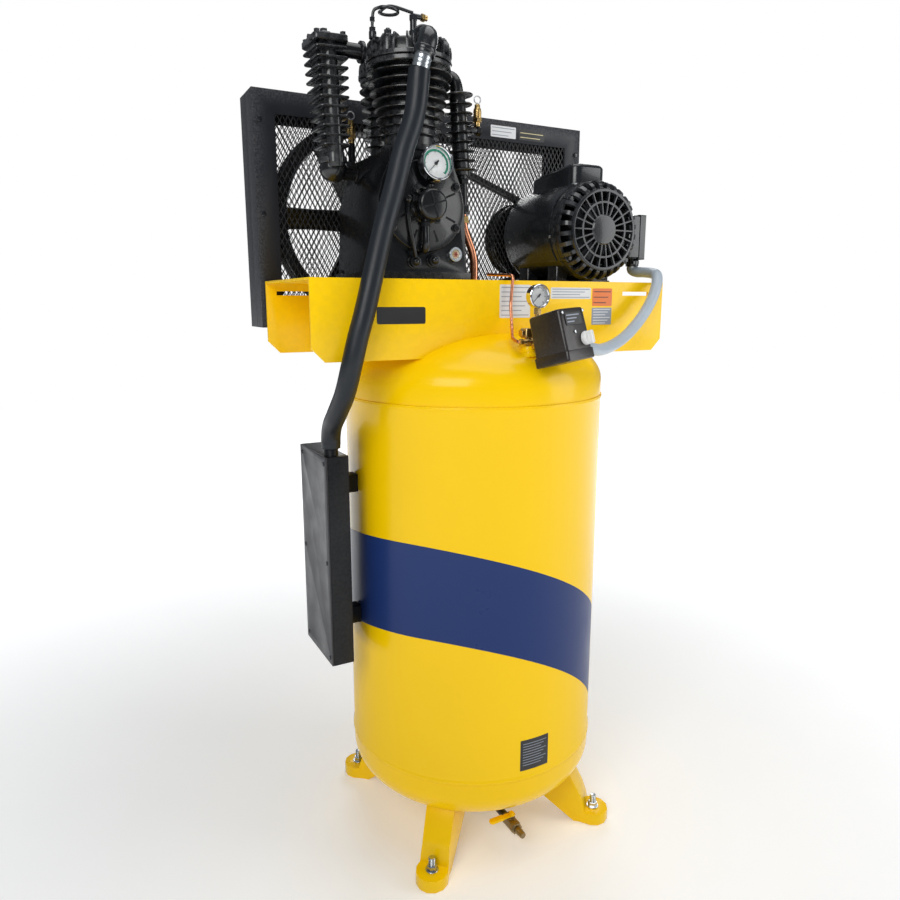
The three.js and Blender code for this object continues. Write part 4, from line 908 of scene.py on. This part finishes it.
def stage_head(name, y, radius, height, ribs, bolts, limit, sign, stands_for):
    head = Shape(PUMP @ shift(0, y, HEAD_BASE))
    head.lathe([(0, 0.3), (radius - 1, 0.3), (radius, 1.4), (radius, 7.6), (radius - 1.4, 9),
                (radius - 12, 10), (radius - 13, height - 12), (radius - 17, height - 7),
                (radius * 0.5, height - 5), (radius * 0.47, height - 1), (radius * 0.43, height + 2.6),
                (0, height + 3)], 72)
    ridge = [(radius * 0.42, height - 2), (radius * 0.75, height), (radius - 8, height - 1),
             (radius - 2.5, height - 8), (radius - 1, height - 18)]
    for i in range(ribs):
        loops = []
        for x, high in ridge:
            loops.append([(x, -2.6, 6), (x, 2.6, 6), (x, 2.2, high - 1), (x, 1.1, high), (x, -1.1, high),
                          (x, -2.2, high - 1)])
        head.loft(loops, turn(0, 0, 360 * (i + 0.5) / ribs))
    for spot in around(bolts, radius * 0.79, 180 / bolts):
        head.lathe([(0, 4), (13.5, 4), (13, height - 8), (11.5, height - 4), (0, height - 4)], 28, spot)
        head.ring(5, 11, height - 4, height - 2, 28, spot)
        head.nut(8.6, height - 2, height + 7, spot)
        head.bar(4.4, height + 6, height + 10, 16, spot, soft=0.6)
    squared_off(head, limit, sign)
    head.done(name, FIN_BLACK_WORN_GLINT_EDGES, stands_for=stands_for, crease=38)


cylinder("low_stage_barrel", LOW_Y, 54, 8, 62, 90, SPLIT_Y - 0.6, 1, "low_stage_cylinder")
cylinder("high_stage_barrel", HIGH_Y, 35, 7, 48, 58, SPLIT_Y + 0.6, -1, "high_stage_cylinder")
stage_head("low_stage_head_detail", LOW_Y, 90, LOW_HEAD_HEIGHT, 20, 6, SPLIT_Y - 0.6, 1, "low_stage_head")
stage_head("high_stage_head_detail", HIGH_Y, 60, 36, 14, 4, SPLIT_Y + 0.6, -1, "high_stage_head")

# ---- coolers
COLUMN = PUMP @ shift(-155, 0, 78) @ turn(0, -2.5)
inter = Shape(COLUMN)
for y in (-20, 20):
    inter.bar(17, 0, 244, 36, shift(0, y, 0), soft=2)
inter.round_box(-36, 36, -45, 45, 233, 246, 9, lip=2)
inter.lathe([(0, 244), (27, 244), (27, 247), (22, 252), (0, 254)], 32)
inter.nut(17, 250, 258)
inter.nut(9, 258, 265)
for x in (-27, 27):
    for y in (-36, 36):
        inter.nut(6.5, 245.5, 252, shift(x, y, 0))
inter.nut(6, 0, 9, to_right(-35, -26, 238) @ turn(180))
inter.round_box(-18, 18, -36, 36, 4, 32, 14, lip=5)
for i in range(11):
    z = 40 + i * 18
    half_x, half_y = 30 + i * 0.5, 37 + i * 0.7
    inter.round_box(-half_x, half_x, -half_y, half_y, z, z + 4.2, 8, lip=1.1)
    inter.round_box(6 - half_x, half_x - 6, 6 - half_y, half_y - 6, z - 2.2, z + 6.6, 8, lip=2.2)
inter.ball(28, (0, 0, 0), 36)
inter.ring(20, 30, 10, 22, 40, soft=1.5)
inter.done("intercooler_column", FIN_BLACK_WORN_GLINT_EDGES, stands_for="intercooler", crease=40)
arms = Shape(PUMP)
arms.tube([(-178, -22, 303.6), (-130, -22, 303.6), (-92, -22, 303.6)], 14.8, 32, steps=6)
arms.ring(12, 21, 0, 8, 36, to_right(-100, -22, 303.6))
arms.tube(bent([(-153, 0, 80), (-153, 48, 80), (-86, 48, 80)], 26), 15, 32)
arms.ring(12, 21, 0, 6, 36, to_right(-92, 48, 80))
arms.bar(7.5, 84, 141, 24, shift(-95, 48, 0), soft=0.8)
arms.nut(11, 92, 102, shift(-95, 48, 0))
arms.done("intercooler_arms", CAST, bevel=0.4, crease=38)

AFTER = PUMP @ shift(140, -20, 88) @ turn(0, -4.4)
after = Shape(AFTER)
after.bar(18, -4, 168, 32, soft=1)
for i in range(9):
    z = 4 + i * 168 / 8.7
    r = 35 if i == 8 else 32
    after.lathe([(16, z - 2), (20, z + 0.4), (r - 1, z + 1), (r, z + 2), (r, z + 3.2), (r - 1, z + 4.2),
                 (20, z + 4.8), (16, z + 7)], 48, closed=True)
after.done("aftercooler_column", FIN_BLACK_WORN_GLINT_EDGES, stands_for="aftercooler", crease=42)
lines = Shape(PUMP)
lines.tube(bent([(58, 42, 290), (100, 42, 290), (122, -20, 290), (128, -20, 246)], 30), 14.5, 32)
lines.ring(12, 21, 0, 9, 36, to_right(60, 42, 290))
lines.tube([(140, -20, 92), (141, -20, 66), (142, -20, 30), (143, -20, 0.6)], 11.5, 28, steps=14)
lines.nut(16, 0, 14, shift(143, -20, 6))
lines.nut(16, 0, 10, shift(141, -20, 66))
lines.bar(8, 0, 68, 20, to_right(120, -20, 182), soft=0.8)
lines.nut(11, 56, 67, to_right(120, -20, 182))
lines.done("aftercooler_lines", CAST, bevel=0.4, crease=38)


# ---- gauges
def gauge(name, place, radius, depth, stem, node, needle_node, body, ring_colour, reach):
    """A round dial that faces the front: case, stem, face, ticks, glass and a pointer at its lower stop."""
    face_depth = depth * 0.55
    window = radius - 4.6
    case = Shape(place)
    case.lathe([(0, 0), (radius - 2.5, 0), (radius - 1, 1.5), (radius - 1, depth - 7), (radius, depth - 6),
                (radius, depth - 1.2), (radius - 1.2, depth), (radius - 3.2, depth),
                (radius - 4.4, depth - 1.6), (radius - 4.4, face_depth), (0, face_depth)], 72, TO_Y)
    case.done(name + "_case", CHROME, stands_for=node, crease=30)
    foot = Shape(place @ shift(0, -depth / 2, 0))
    foot.bar(6, -radius - stem, -radius + 3, 24, soft=0.8)
    foot.nut(8.5, -radius - min(stem, 12), -radius + 1)
    foot.done(name + "_stem", BRASS, bevel=0.3)
    face = place @ to_front(0, -face_depth, 0)
    dial = Shape(face)
    dial.lathe([(0, 0.05), (window, 0.05), (window, 0.35), (0, 0.35)], 64)
    dial.done(name + "_dial", DIAL)
    ticks = Shape(face)
    for i in range(31):
        a = math.radians(225 - 270 * i / 30)
        long = i % 5 == 0
        inner_r = radius * (0.62 if long else 0.68)
        width = 0.55 if long else 0.28
        ticks.box(inner_r, radius * 0.76, -width, width, 0.35, 0.5, Matrix.Rotation(a, 4, "Z"))
    ticks.lathe([(0, 0.35), (radius * 0.09, 0.35), (radius * 0.09, 0.6), (0, 0.6)], 24)
    ticks.done(name + "_ticks", INK)
    if ring_colour:
        arc = Shape(face)
        near, far = radius * 0.68, radius * 0.82
        arc.lathe([(near, 0.36), (far, 0.36), (far, 0.48), (near, 0.48)], 60, closed=True, start=-45,
                  span=270)
        arc.done(name + "_arc", ring_colour)
    pane = Shape(place)
    pane.lathe([(0, depth - 3.2), (window, depth - 3.2), (window, depth - 2.0), (radius * 0.5, depth - 1.5),
                (0, depth - 1.3)], 64, TO_Y)
    pane.done(name + "_glass", GLASS)
    pointer = Shape(place @ shift(0, -face_depth - 1.2, 0) @ turn(0, 225) @ TO_Y)
    outline = [(-1.5, -reach * 0.42), (1.5, -reach * 0.42), (1.9, -reach * 0.16), (0.8, 0), (0.25, reach),
               (-0.25, reach), (-0.8, 0), (-1.9, -reach * 0.16)]
    pointer.prism(outline, 0.1, 0.8)
    pointer.bar(reach * 0.15, -0.5, 1.8, 28, soft=0.3)
    pointer.done(name + "_pointer", INK, body, needle_node)


OIL_GAUGE = PUMP @ shift(12, -128, 78) @ turn(-8)
gauge("oil_gauge_dial", OIL_GAUGE, 35, 26, 1, "oil_gauge", "oil_gauge_needle", "oil_needle", GREEN, 22)
CONTROLS = shift(-6, -246, TOP_SEAM + 121.3)
TANK_GAUGE = CONTROLS @ shift(25, 16, 42 + 25 + 34.3)
gauge("tank_gauge_dial", TANK_GAUGE, 25, 20, 34, "tank_gauge", "tank_gauge_needle", "tank_needle", None, 16)


# ---- relief valves
def relief_valve(stage, place):
    body = Shape(place)
    body.bar(6.8, 0.2, 11, 24, soft=0.6)
    body.nut(11, 10, 18)
    body.lathe([(0, 17), (8.5, 17), (9, 19), (9, 34), (8, 38), (6.5, 40), (6, 46.4), (0, 46.6)], 32)
    for z in (22, 26, 30):
        body.ring(8.2, 9.5, z, z + 1.6, 32, soft=0.5)
    body.done(f"{stage}_valve_body", BRASS, stands_for=f"{stage}_valve", bevel=0.3)
    ring = Shape(place @ shift(0, 0, 47.3))
    ring.bar(1.9, 0, 3, 16, soft=0.3)
    angles = [2 * math.pi * k / 40 for k in range(41)]
    circle = [(8 * math.cos(a), 0, 9.2 + 8 * math.sin(a)) for a in angles]
    ring.tube(circle, 1.35, 12)
    ring.done(f"{stage}_ring_wire", STEEL, f"{stage}_pull", f"{stage}_ring")


relief_valve("interstage", PUMP @ shift(-95, 48, 141.3))
relief_valve("discharge", PUMP @ shift(179, -20, 190.3))

# ---- unloader tube on the heads
top = HEAD_BASE + LOW_HEAD_HEIGHT + 6.3
unloader = Shape(PUMP)
coil = []
for i in range(25):
    a = math.pi * (1 + i / 12)
    coil.append((-37 + 20 * math.cos(a), -30 + 14 * math.sin(a), top + 58 - i * 0.35))
rise = [(-69, -20, top), (-69, -20, top + 36), (-66, -22, top + 54)]
run_out = [(-40, -36, top + 61), (8, -51, top + 52)]
unloader.tube(rise + coil + run_out, 3.2, 16, steps=150)
stub, post = shift(-69, -20, 0), shift(8, -51.5, 0)
unloader.bar(8, top, top + 14, 24, stub, soft=0.8)
unloader.nut(7.5, top + 13, top + 22, stub)
unloader.nut(6, top + 34, top + 41, stub)
unloader.lathe([(0, top), (10, top), (10, top + 5), (7, top + 8), (7, top + 34), (6.5, top + 48),
                (0, top + 52)], 32, post)
unloader.nut(10, top + 10, top + 18, post)
unloader.nut(9, top + 38, top + 48, post)
unloader.bar(5, 0, 20, 24, to_right(8, -52, top + 46), soft=1)
unloader.done("unloader_tube_detail", SATIN, stands_for="unloader_tube", bevel=0.3, crease=38)
tip = Shape(PUMP @ to_right(26, -52, top + 46))
tip.nut(8, 0, 7)
tip.bar(5.6, 6, 13, 24, soft=0.8)
tip.done("unloader_tip", BRASS, bevel=0.3)

# ---- intake
INLET_Z = HEAD_BASE + 24
elbow = Shape(PUMP)
corner = bent([(-10, LOW_Y - 84, INLET_Z), (-10, -164, INLET_Z + 3), (-23, -165, INLET_Z - 34)], 24)
elbow.tube(corner, 19.5, 40)
elbow.ring(16, 26, 0, 9, 44, to_front(-10, LOW_Y - 87, INLET_Z), soft=1.5)
elbow.tube([(-21, -165, INLET_Z - 26), (-23, -165, INLET_Z - 32), (-25, -165, INLET_Z - 39)], 22.5, 40,
           steps=8, width=lambda s: 0.93 + 0.07 * math.sin(math.pi * min(1, s * 1.2 + 0.1)))
elbow.done("intake_elbow_cast", SATIN, stands_for="intake_elbow", crease=50)
nipple = Shape(PUMP)
nipple.tube([(-24.5, -165, INLET_Z - 36), (-28.7, -165, INLET_Z - 50), (-33, -165, 244)], 17, 36, steps=10,
            width=lambda s: 1 + 0.05 * math.cos(s * 40))
nipple.done("intake_nipple", ZINC, crease=50)

HOSE = [
    (-216, -165, 1742), (-228, -167, 1662), (-255, -170, 1590), (-278, -175, 1517),
    (-305, -184, 1443), (-333, -193, 1352), (-353, -198, 1285), (-369, -199, 1235),
    (-380, -195, 1188), (-386, -169, 1130), (-387, -120, 1082), (-384, -78, 1050), (-382, -61, 1024),
    (-382, -60, 1000),
]
hose = Shape()
hose.tube(HOSE, 20.8, 36, steps=170, width=lambda s: 1.035 if s < 0.085 else (1.0 if s < 0.99 else 0.965))
hose.done("intake_hose_smooth", RUBBER, stands_for="intake_hose", crease=60)

# Painted light and shade: the silencer's lid in a lighter black for its lit face, its box in a darker black
# for its shaded sides.
for node, material in (("silencer_box", BOX_BLACK_PAINTED_SHADE), ("silencer_lid", LID_POWDER_PAINTED_LIT)):
    keep(node, material, bevel=1.2, segments=2)

# ---- copper lines
inlet_top = TOP_SEAM + 184
line = Shape()
fall = bent([(-39, -20, 1497.6), (-39, -20, 1476), (-9, -20, 1410), (-9, -20, inlet_top + 20)], 24)
line.tube(fall, 9.2, 28)
line.done("discharge_line", COPPER, stands_for="discharge_pipe", crease=50)
check = Shape(shift(-9, -20, inlet_top + 0.5))
check.bar(15, 0, 34, 36, soft=1.5)
check.nut(17.5, 8, 20)
check.nut(13, 34, 42)
check.done("check_valve", BRASS, bevel=0.4)
nut = Shape(shift(-39, -20, 1480))
nut.nut(15, 2, 16)
nut.done("discharge_line_nut", BRASS, bevel=0.4)
thin = Shape()
thin.tube(bent([(-28.5, -256, 1224.5), (-37, -254, 1224), (-31, -222, 1231), (-12, -190, 1252),
                (-5, -173, 1300), (0, -173, 1362), (-20, -100, 1366)], 9), 3.4, 18)
thin.done("unloader_line", COPPER, stands_for="unloader_pipe", crease=50)
nuts = Shape()
nuts.nut(7, 0, 9, to_right(-26.5, -256, 1224.5) @ turn(180))
nuts.done("unloader_line_nut", BRASS, bevel=0.3)

# ---- switch, manifold and knob
manifold = Shape(CONTROLS)
manifold.bar(9, 0.3, 24, 28, soft=0.8)
manifold.nut(13, 3, 13)
manifold.round_box(-14, 46, -11, 11, 16, 36, 4, lip=1.5)
manifold.nut(9, 0, 7, to_right(-14, 0, 26) @ turn(180))
manifold.bar(6, -20, -4, 20, to_right(0, -10, 8), soft=0.6)
manifold.nut(9, 36, 42, shift(25, 5, 0))
manifold.bar(7, 44, 57, 24, to_right(0, 0, 26), soft=0.8)
manifold.nut(9, 50, 58, to_right(0, 0, 26))
manifold.done("manifold_detail", BRASS, stands_for="switch_manifold", bevel=0.4)

CASE = CONTROLS @ shift(21, -82, 19) @ turn(-13, -7, 14)
W, D, H = 86, 88, 104
case = Shape(CASE)
case.round_box(-W / 2, W / 2, -D / 2, D / 2, -H / 2, -H / 2 + 21, 6, lip=1.8)
hood = [(-H / 2 + 20, 2), (H / 2 - 5, 3.6), (H / 2 - 1.5, 5), (H / 2, 8)]
case.stepped(-W / 2, W / 2, -D / 2, D / 2, hood, 7)
case.bar(15, W / 2 - 6, W / 2 + 13.5, 32, to_right(0, 0, -H / 2 + 26), soft=1.2)
case.nut(18, W / 2 - 1, W / 2 + 6, to_right(0, 0, -H / 2 + 26))
case.done("switch_case_detail", BROWN_BLACK, stands_for="pressure_switch", crease=38)
inlet = Shape(CASE @ to_front(-6, D / 2 - 4, -2) @ turn(180))
inlet.bar(8, 0, 28, 24, soft=0.8)
inlet.nut(11, 6, 14)
inlet.done("switch_inlet", BRASS, bevel=0.3)
plate = Shape(CASE @ to_front(0, -D / 2 + 2.1, 0))
plate.prism(rounded(-26, 24, 18, 42, 3, 3), 0, 0.5)
plate.done("switch_plate", LABEL_BLACK)
marks = Shape(CASE @ to_front(0, -D / 2 + 1.6, 0))
for i in range(3):
    marks.box(-22, 18 - i * 9, 36 - i * 6.5, 38.4 - i * 6.5, 0, 0.2)
marks.done("switch_plate_lines", LABEL_GREY)
studs = Shape(CASE @ to_front(0, -D / 2 + 2.2, 0))
for x, z in ((-32, 44), (32, 44), (-4, 4)):
    studs.bar(3.2, 0, 2.2, 20, shift(x, z, 0), soft=0.6)
studs.done("switch_screws", ZINC)
knob = Shape(CASE @ to_front(W / 2 - 20, 2 - D / 2 - 0.3, -12))
knob.lathe([(0, 0.2), (13.6, 0.2), (14, 1), (13.4, 8), (12, 10), (0, 10)], 48)
knob.round_box(-4.5, 4.5, -13, 13, 9, 20, 3.5, lip=1.4)
knob.done("switch_knob_detail", WHITE, "knob", "switch_knob", bevel=0.3)

# ---- motor
Y_BACK, Y_FRONT, MR = 128, -92, 115
frame_shell = Shape(MOTOR_AT)
frame_shell.lathe([(104, -Y_BACK), (MR - 4, -Y_BACK), (MR, 6 - Y_BACK), (MR, 14 - Y_BACK),
                   (MR - 1.6, 16 - Y_BACK), (MR - 1.6, 78), (MR, 80), (MR, -Y_FRONT), (104, -Y_FRONT)],
                  128, TO_Y, closed=True)
frame_shell.lathe([(16, -Y_BACK - 30), (58, -Y_BACK - 30), (74, -Y_BACK - 27), (88, -Y_BACK - 19),
                   (104, -Y_BACK - 8), (109, 1 - Y_BACK), (100, 4 - Y_BACK), (16, -Y_BACK - 20)],
                  96, TO_Y, closed=True)
for side in (-1, 1):
    for y in (-40, 84):
        x0, x1 = sorted((side * 46, side * 80))
        frame_shell.round_box(x0, x1, y - 20, y + 20, -119.4, -72, 6, lip=2)
frame_shell.round_box(-84, 84, -64, 112, -119.6, -113, 8, lip=1.2)
frame_shell.done("motor_frame", SATIN, stands_for="motor_housing", crease=35)
trim = Shape(MOTOR_AT)
for degrees in (112, 68, -8, 188):
    for y in (-74, 96):
        trim.bar(3.6, MR - 3, MR + 1.6, 20, to_front(0, y, 0) @ turn(0, 0, degrees) @ TO_X, soft=0.7)
trim.done("motor_screws", ZINC)
wrap = Shape(MOTOR_AT)
wrap.lathe([(MR - 1.7, -112), (MR + 0.9, -112), (MR + 1.2, -111), (MR + 1.2, 73), (MR + 0.9, 74),
            (MR - 1.7, 74)], 60, TO_Y, closed=True, start=112, span=106)
wrap.done("motor_wrap", SATIN, crease=30)

grille = Shape(MOTOR_AT @ to_front(0, Y_FRONT, 0))
grille.lathe([(MR - 9, 0.5), (MR - 1, 0.5), (MR, 2), (MR - 0.5, 10), (MR - 2, 14), (MR - 8, 14)], 128,
             closed=True)
grille.lathe([(85, 36), (92, 34), (94, 37), (92.5, 41.5), (90, 42.4), (86, 42.2)], 112, closed=True)
grille.lathe([(60, 37), (64.5, 37), (64.5, 41.6), (60, 41.6)], 96, closed=True)
grille.lathe([(0, 34), (33, 34), (35, 36), (35, 41), (32, 43.8), (18, 45), (0, 45.4)], 64)
for i in range(22):
    spin = Matrix.Rotation(2 * math.pi * i / 22, 4, "Z")
    grille.loft([[(32, -2.3, 35), (32, 2.3, 35), (32, 1.5, 42), (32, -1.5, 42)],
                 [(87, -2.3, 35), (87, 2.3, 35), (87, 1.5, 41.6), (87, -1.5, 41.6)]], spin)
for i in range(28):
    spin = Matrix.Rotation(2 * math.pi * (i + 0.5) / 28, 4, "Z")
    loops = []
    for step in range(9):
        a = math.pi / 2 * step / 8
        r = 91 + (MR - 2 - 91) * math.sin(a)
        z = 10 + (39 - 10) * math.cos(a)
        loops.append([(r - 6, -5.4, z - 7), (r - 6, 5.4, z - 7), (r, 4.6, z), (r, -4.6, z)])
    grille.loft(loops, spin)
grille.done("motor_fan_grille", SATIN, stands_for="motor_fan_cover", crease=35)
ears = Shape(MOTOR_AT @ to_front(0, Y_FRONT, 0))
for degrees in (38, 142, 218, 322):
    spot = Matrix.Rotation(math.radians(degrees), 4, "Z") @ shift(MR - 8, 0, 0)
    ears.bar(9, -6, 20, 24, spot, soft=1.5)
    ears.nut(6, 20, 27, spot)
ears.done("motor_through_bolts", SATIN, bevel=0.4)
ROTOR_DARK = surface("rotor_dark", (0.05, 0.052, 0.056), 0.4, metallic=0.7, vary=0.2, grain=150, bump=0.08)
keep("motor_rotor", ROTOR_DARK, bevel=0.4)

CAP_HALF, CAP_FRONT, CAP_BACK, CAP_TOP, CAP_SLOPE = 50, -76, 110, 155, 0.1405
capacitor = Shape(MOTOR_AT)
loops = []
for z, inset in ((90, 0), (108, 0), (110, 1.2), (CAP_TOP - 9, 1.2), (CAP_TOP - 4.5, 2.4), (CAP_TOP - 1.3, 5),
                 (CAP_TOP, 9)):
    loop = []
    for x, y in rounded(inset - CAP_HALF, CAP_HALF - inset, CAP_FRONT + inset, CAP_BACK - inset, 23):
        drop = max(0, y - CAP_FRONT - 60) * CAP_SLOPE if z > 112 else 0
        loop.append((x, y, z - drop))
    loops.append(loop)
capacitor.loft(loops)
capacitor.done("capacitor_cover_detail", SATIN, stands_for="capacitor_cover", crease=38)

junction = Shape(MOTOR_AT)
junction.round_box(96, 168, -92, -22, -60, 44, 14, lip=4)
junction.round_box(150, 161, -93.5, -20.5, -61.5, 45.5, 14, lip=3)
junction.bar(16, -77.5, -58, 32, shift(153, -62, 0), soft=1.2)
junction.nut(18, -72, -63, shift(153, -62, 0))
for y, z in ((-80, 32), (-34, 32), (-80, -48), (-34, -48)):
    junction.bar(3.4, 0, 2, 20, to_right(167, y, z), soft=0.6)
junction.done("junction_box_detail", SATIN, stands_for="junction_box", crease=38)

CONDUIT = [
    (430, -62, 1393.2), (430, -62, 1387), (434, -74, 1381), (437, -102, 1379), (430, -138, 1375),
    (416, -167, 1368), (398, -187, 1345), (377, -197, 1314), (349, -203, 1280), (311, -213, 1249),
    (262, -231, 1224), (204, -257, 1209), (150, -285, 1205), (110, -306, 1210), (75.6, -318.2, 1213.7),
]
conduit = Shape()
conduit.tube(CONDUIT, 12.8, 28, steps=150)
conduit.done("conduit_smooth", CONDUIT_GREY, stands_for="conduit", crease=60)

# ---- floor
floor_mesh = bpy.data.meshes.new("floor")
floor_corners = [(-9, -9, -0.001), (9, -9, -0.001), (9, 9, -0.001), (-9, 9, -0.001)]
floor_mesh.from_pydata(floor_corners, [], [(0, 1, 2, 3)])
floor_material = surface("studio_floor", (0.86, 0.865, 0.87), 0.55, vary=0.02, grain=3, bump=0.005,
                         coarse=0.8)
floor_nodes, floor_links = floor_material.node_tree.nodes, floor_material.node_tree.links
# Painted light: the floor glows, faintly near its middle and up to full white from 3.8 m out, so the far
# floor, which the lamps light less, turns as white as the backdrop.
place_on_floor = floor_nodes.new("ShaderNodeTexCoord")
distance = floor_nodes.new("ShaderNodeVectorMath")
distance.operation = "LENGTH"
floor_links.new(place_on_floor.outputs["Object"], distance.inputs[0])
painted_floor_glow = floor_nodes.new("ShaderNodeMapRange")
painted_floor_glow.interpolation_type = "SMOOTHSTEP"
set_range(painted_floor_glow, 0.7, 3.8, 0.2, 1.0)
floor_links.new(distance.outputs["Value"], painted_floor_glow.inputs["Value"])
floor_shader = floor_nodes["Principled BSDF"]
floor_shader.inputs["Emission Color"].default_value = (1, 1, 1, 1)
floor_links.new(painted_floor_glow.outputs["Result"], floor_shader.inputs["Emission Strength"])
floor_mesh.materials.append(floor_material)
floor = bpy.data.objects.new("floor", floor_mesh)
bpy.context.scene.collection.objects.link(floor)
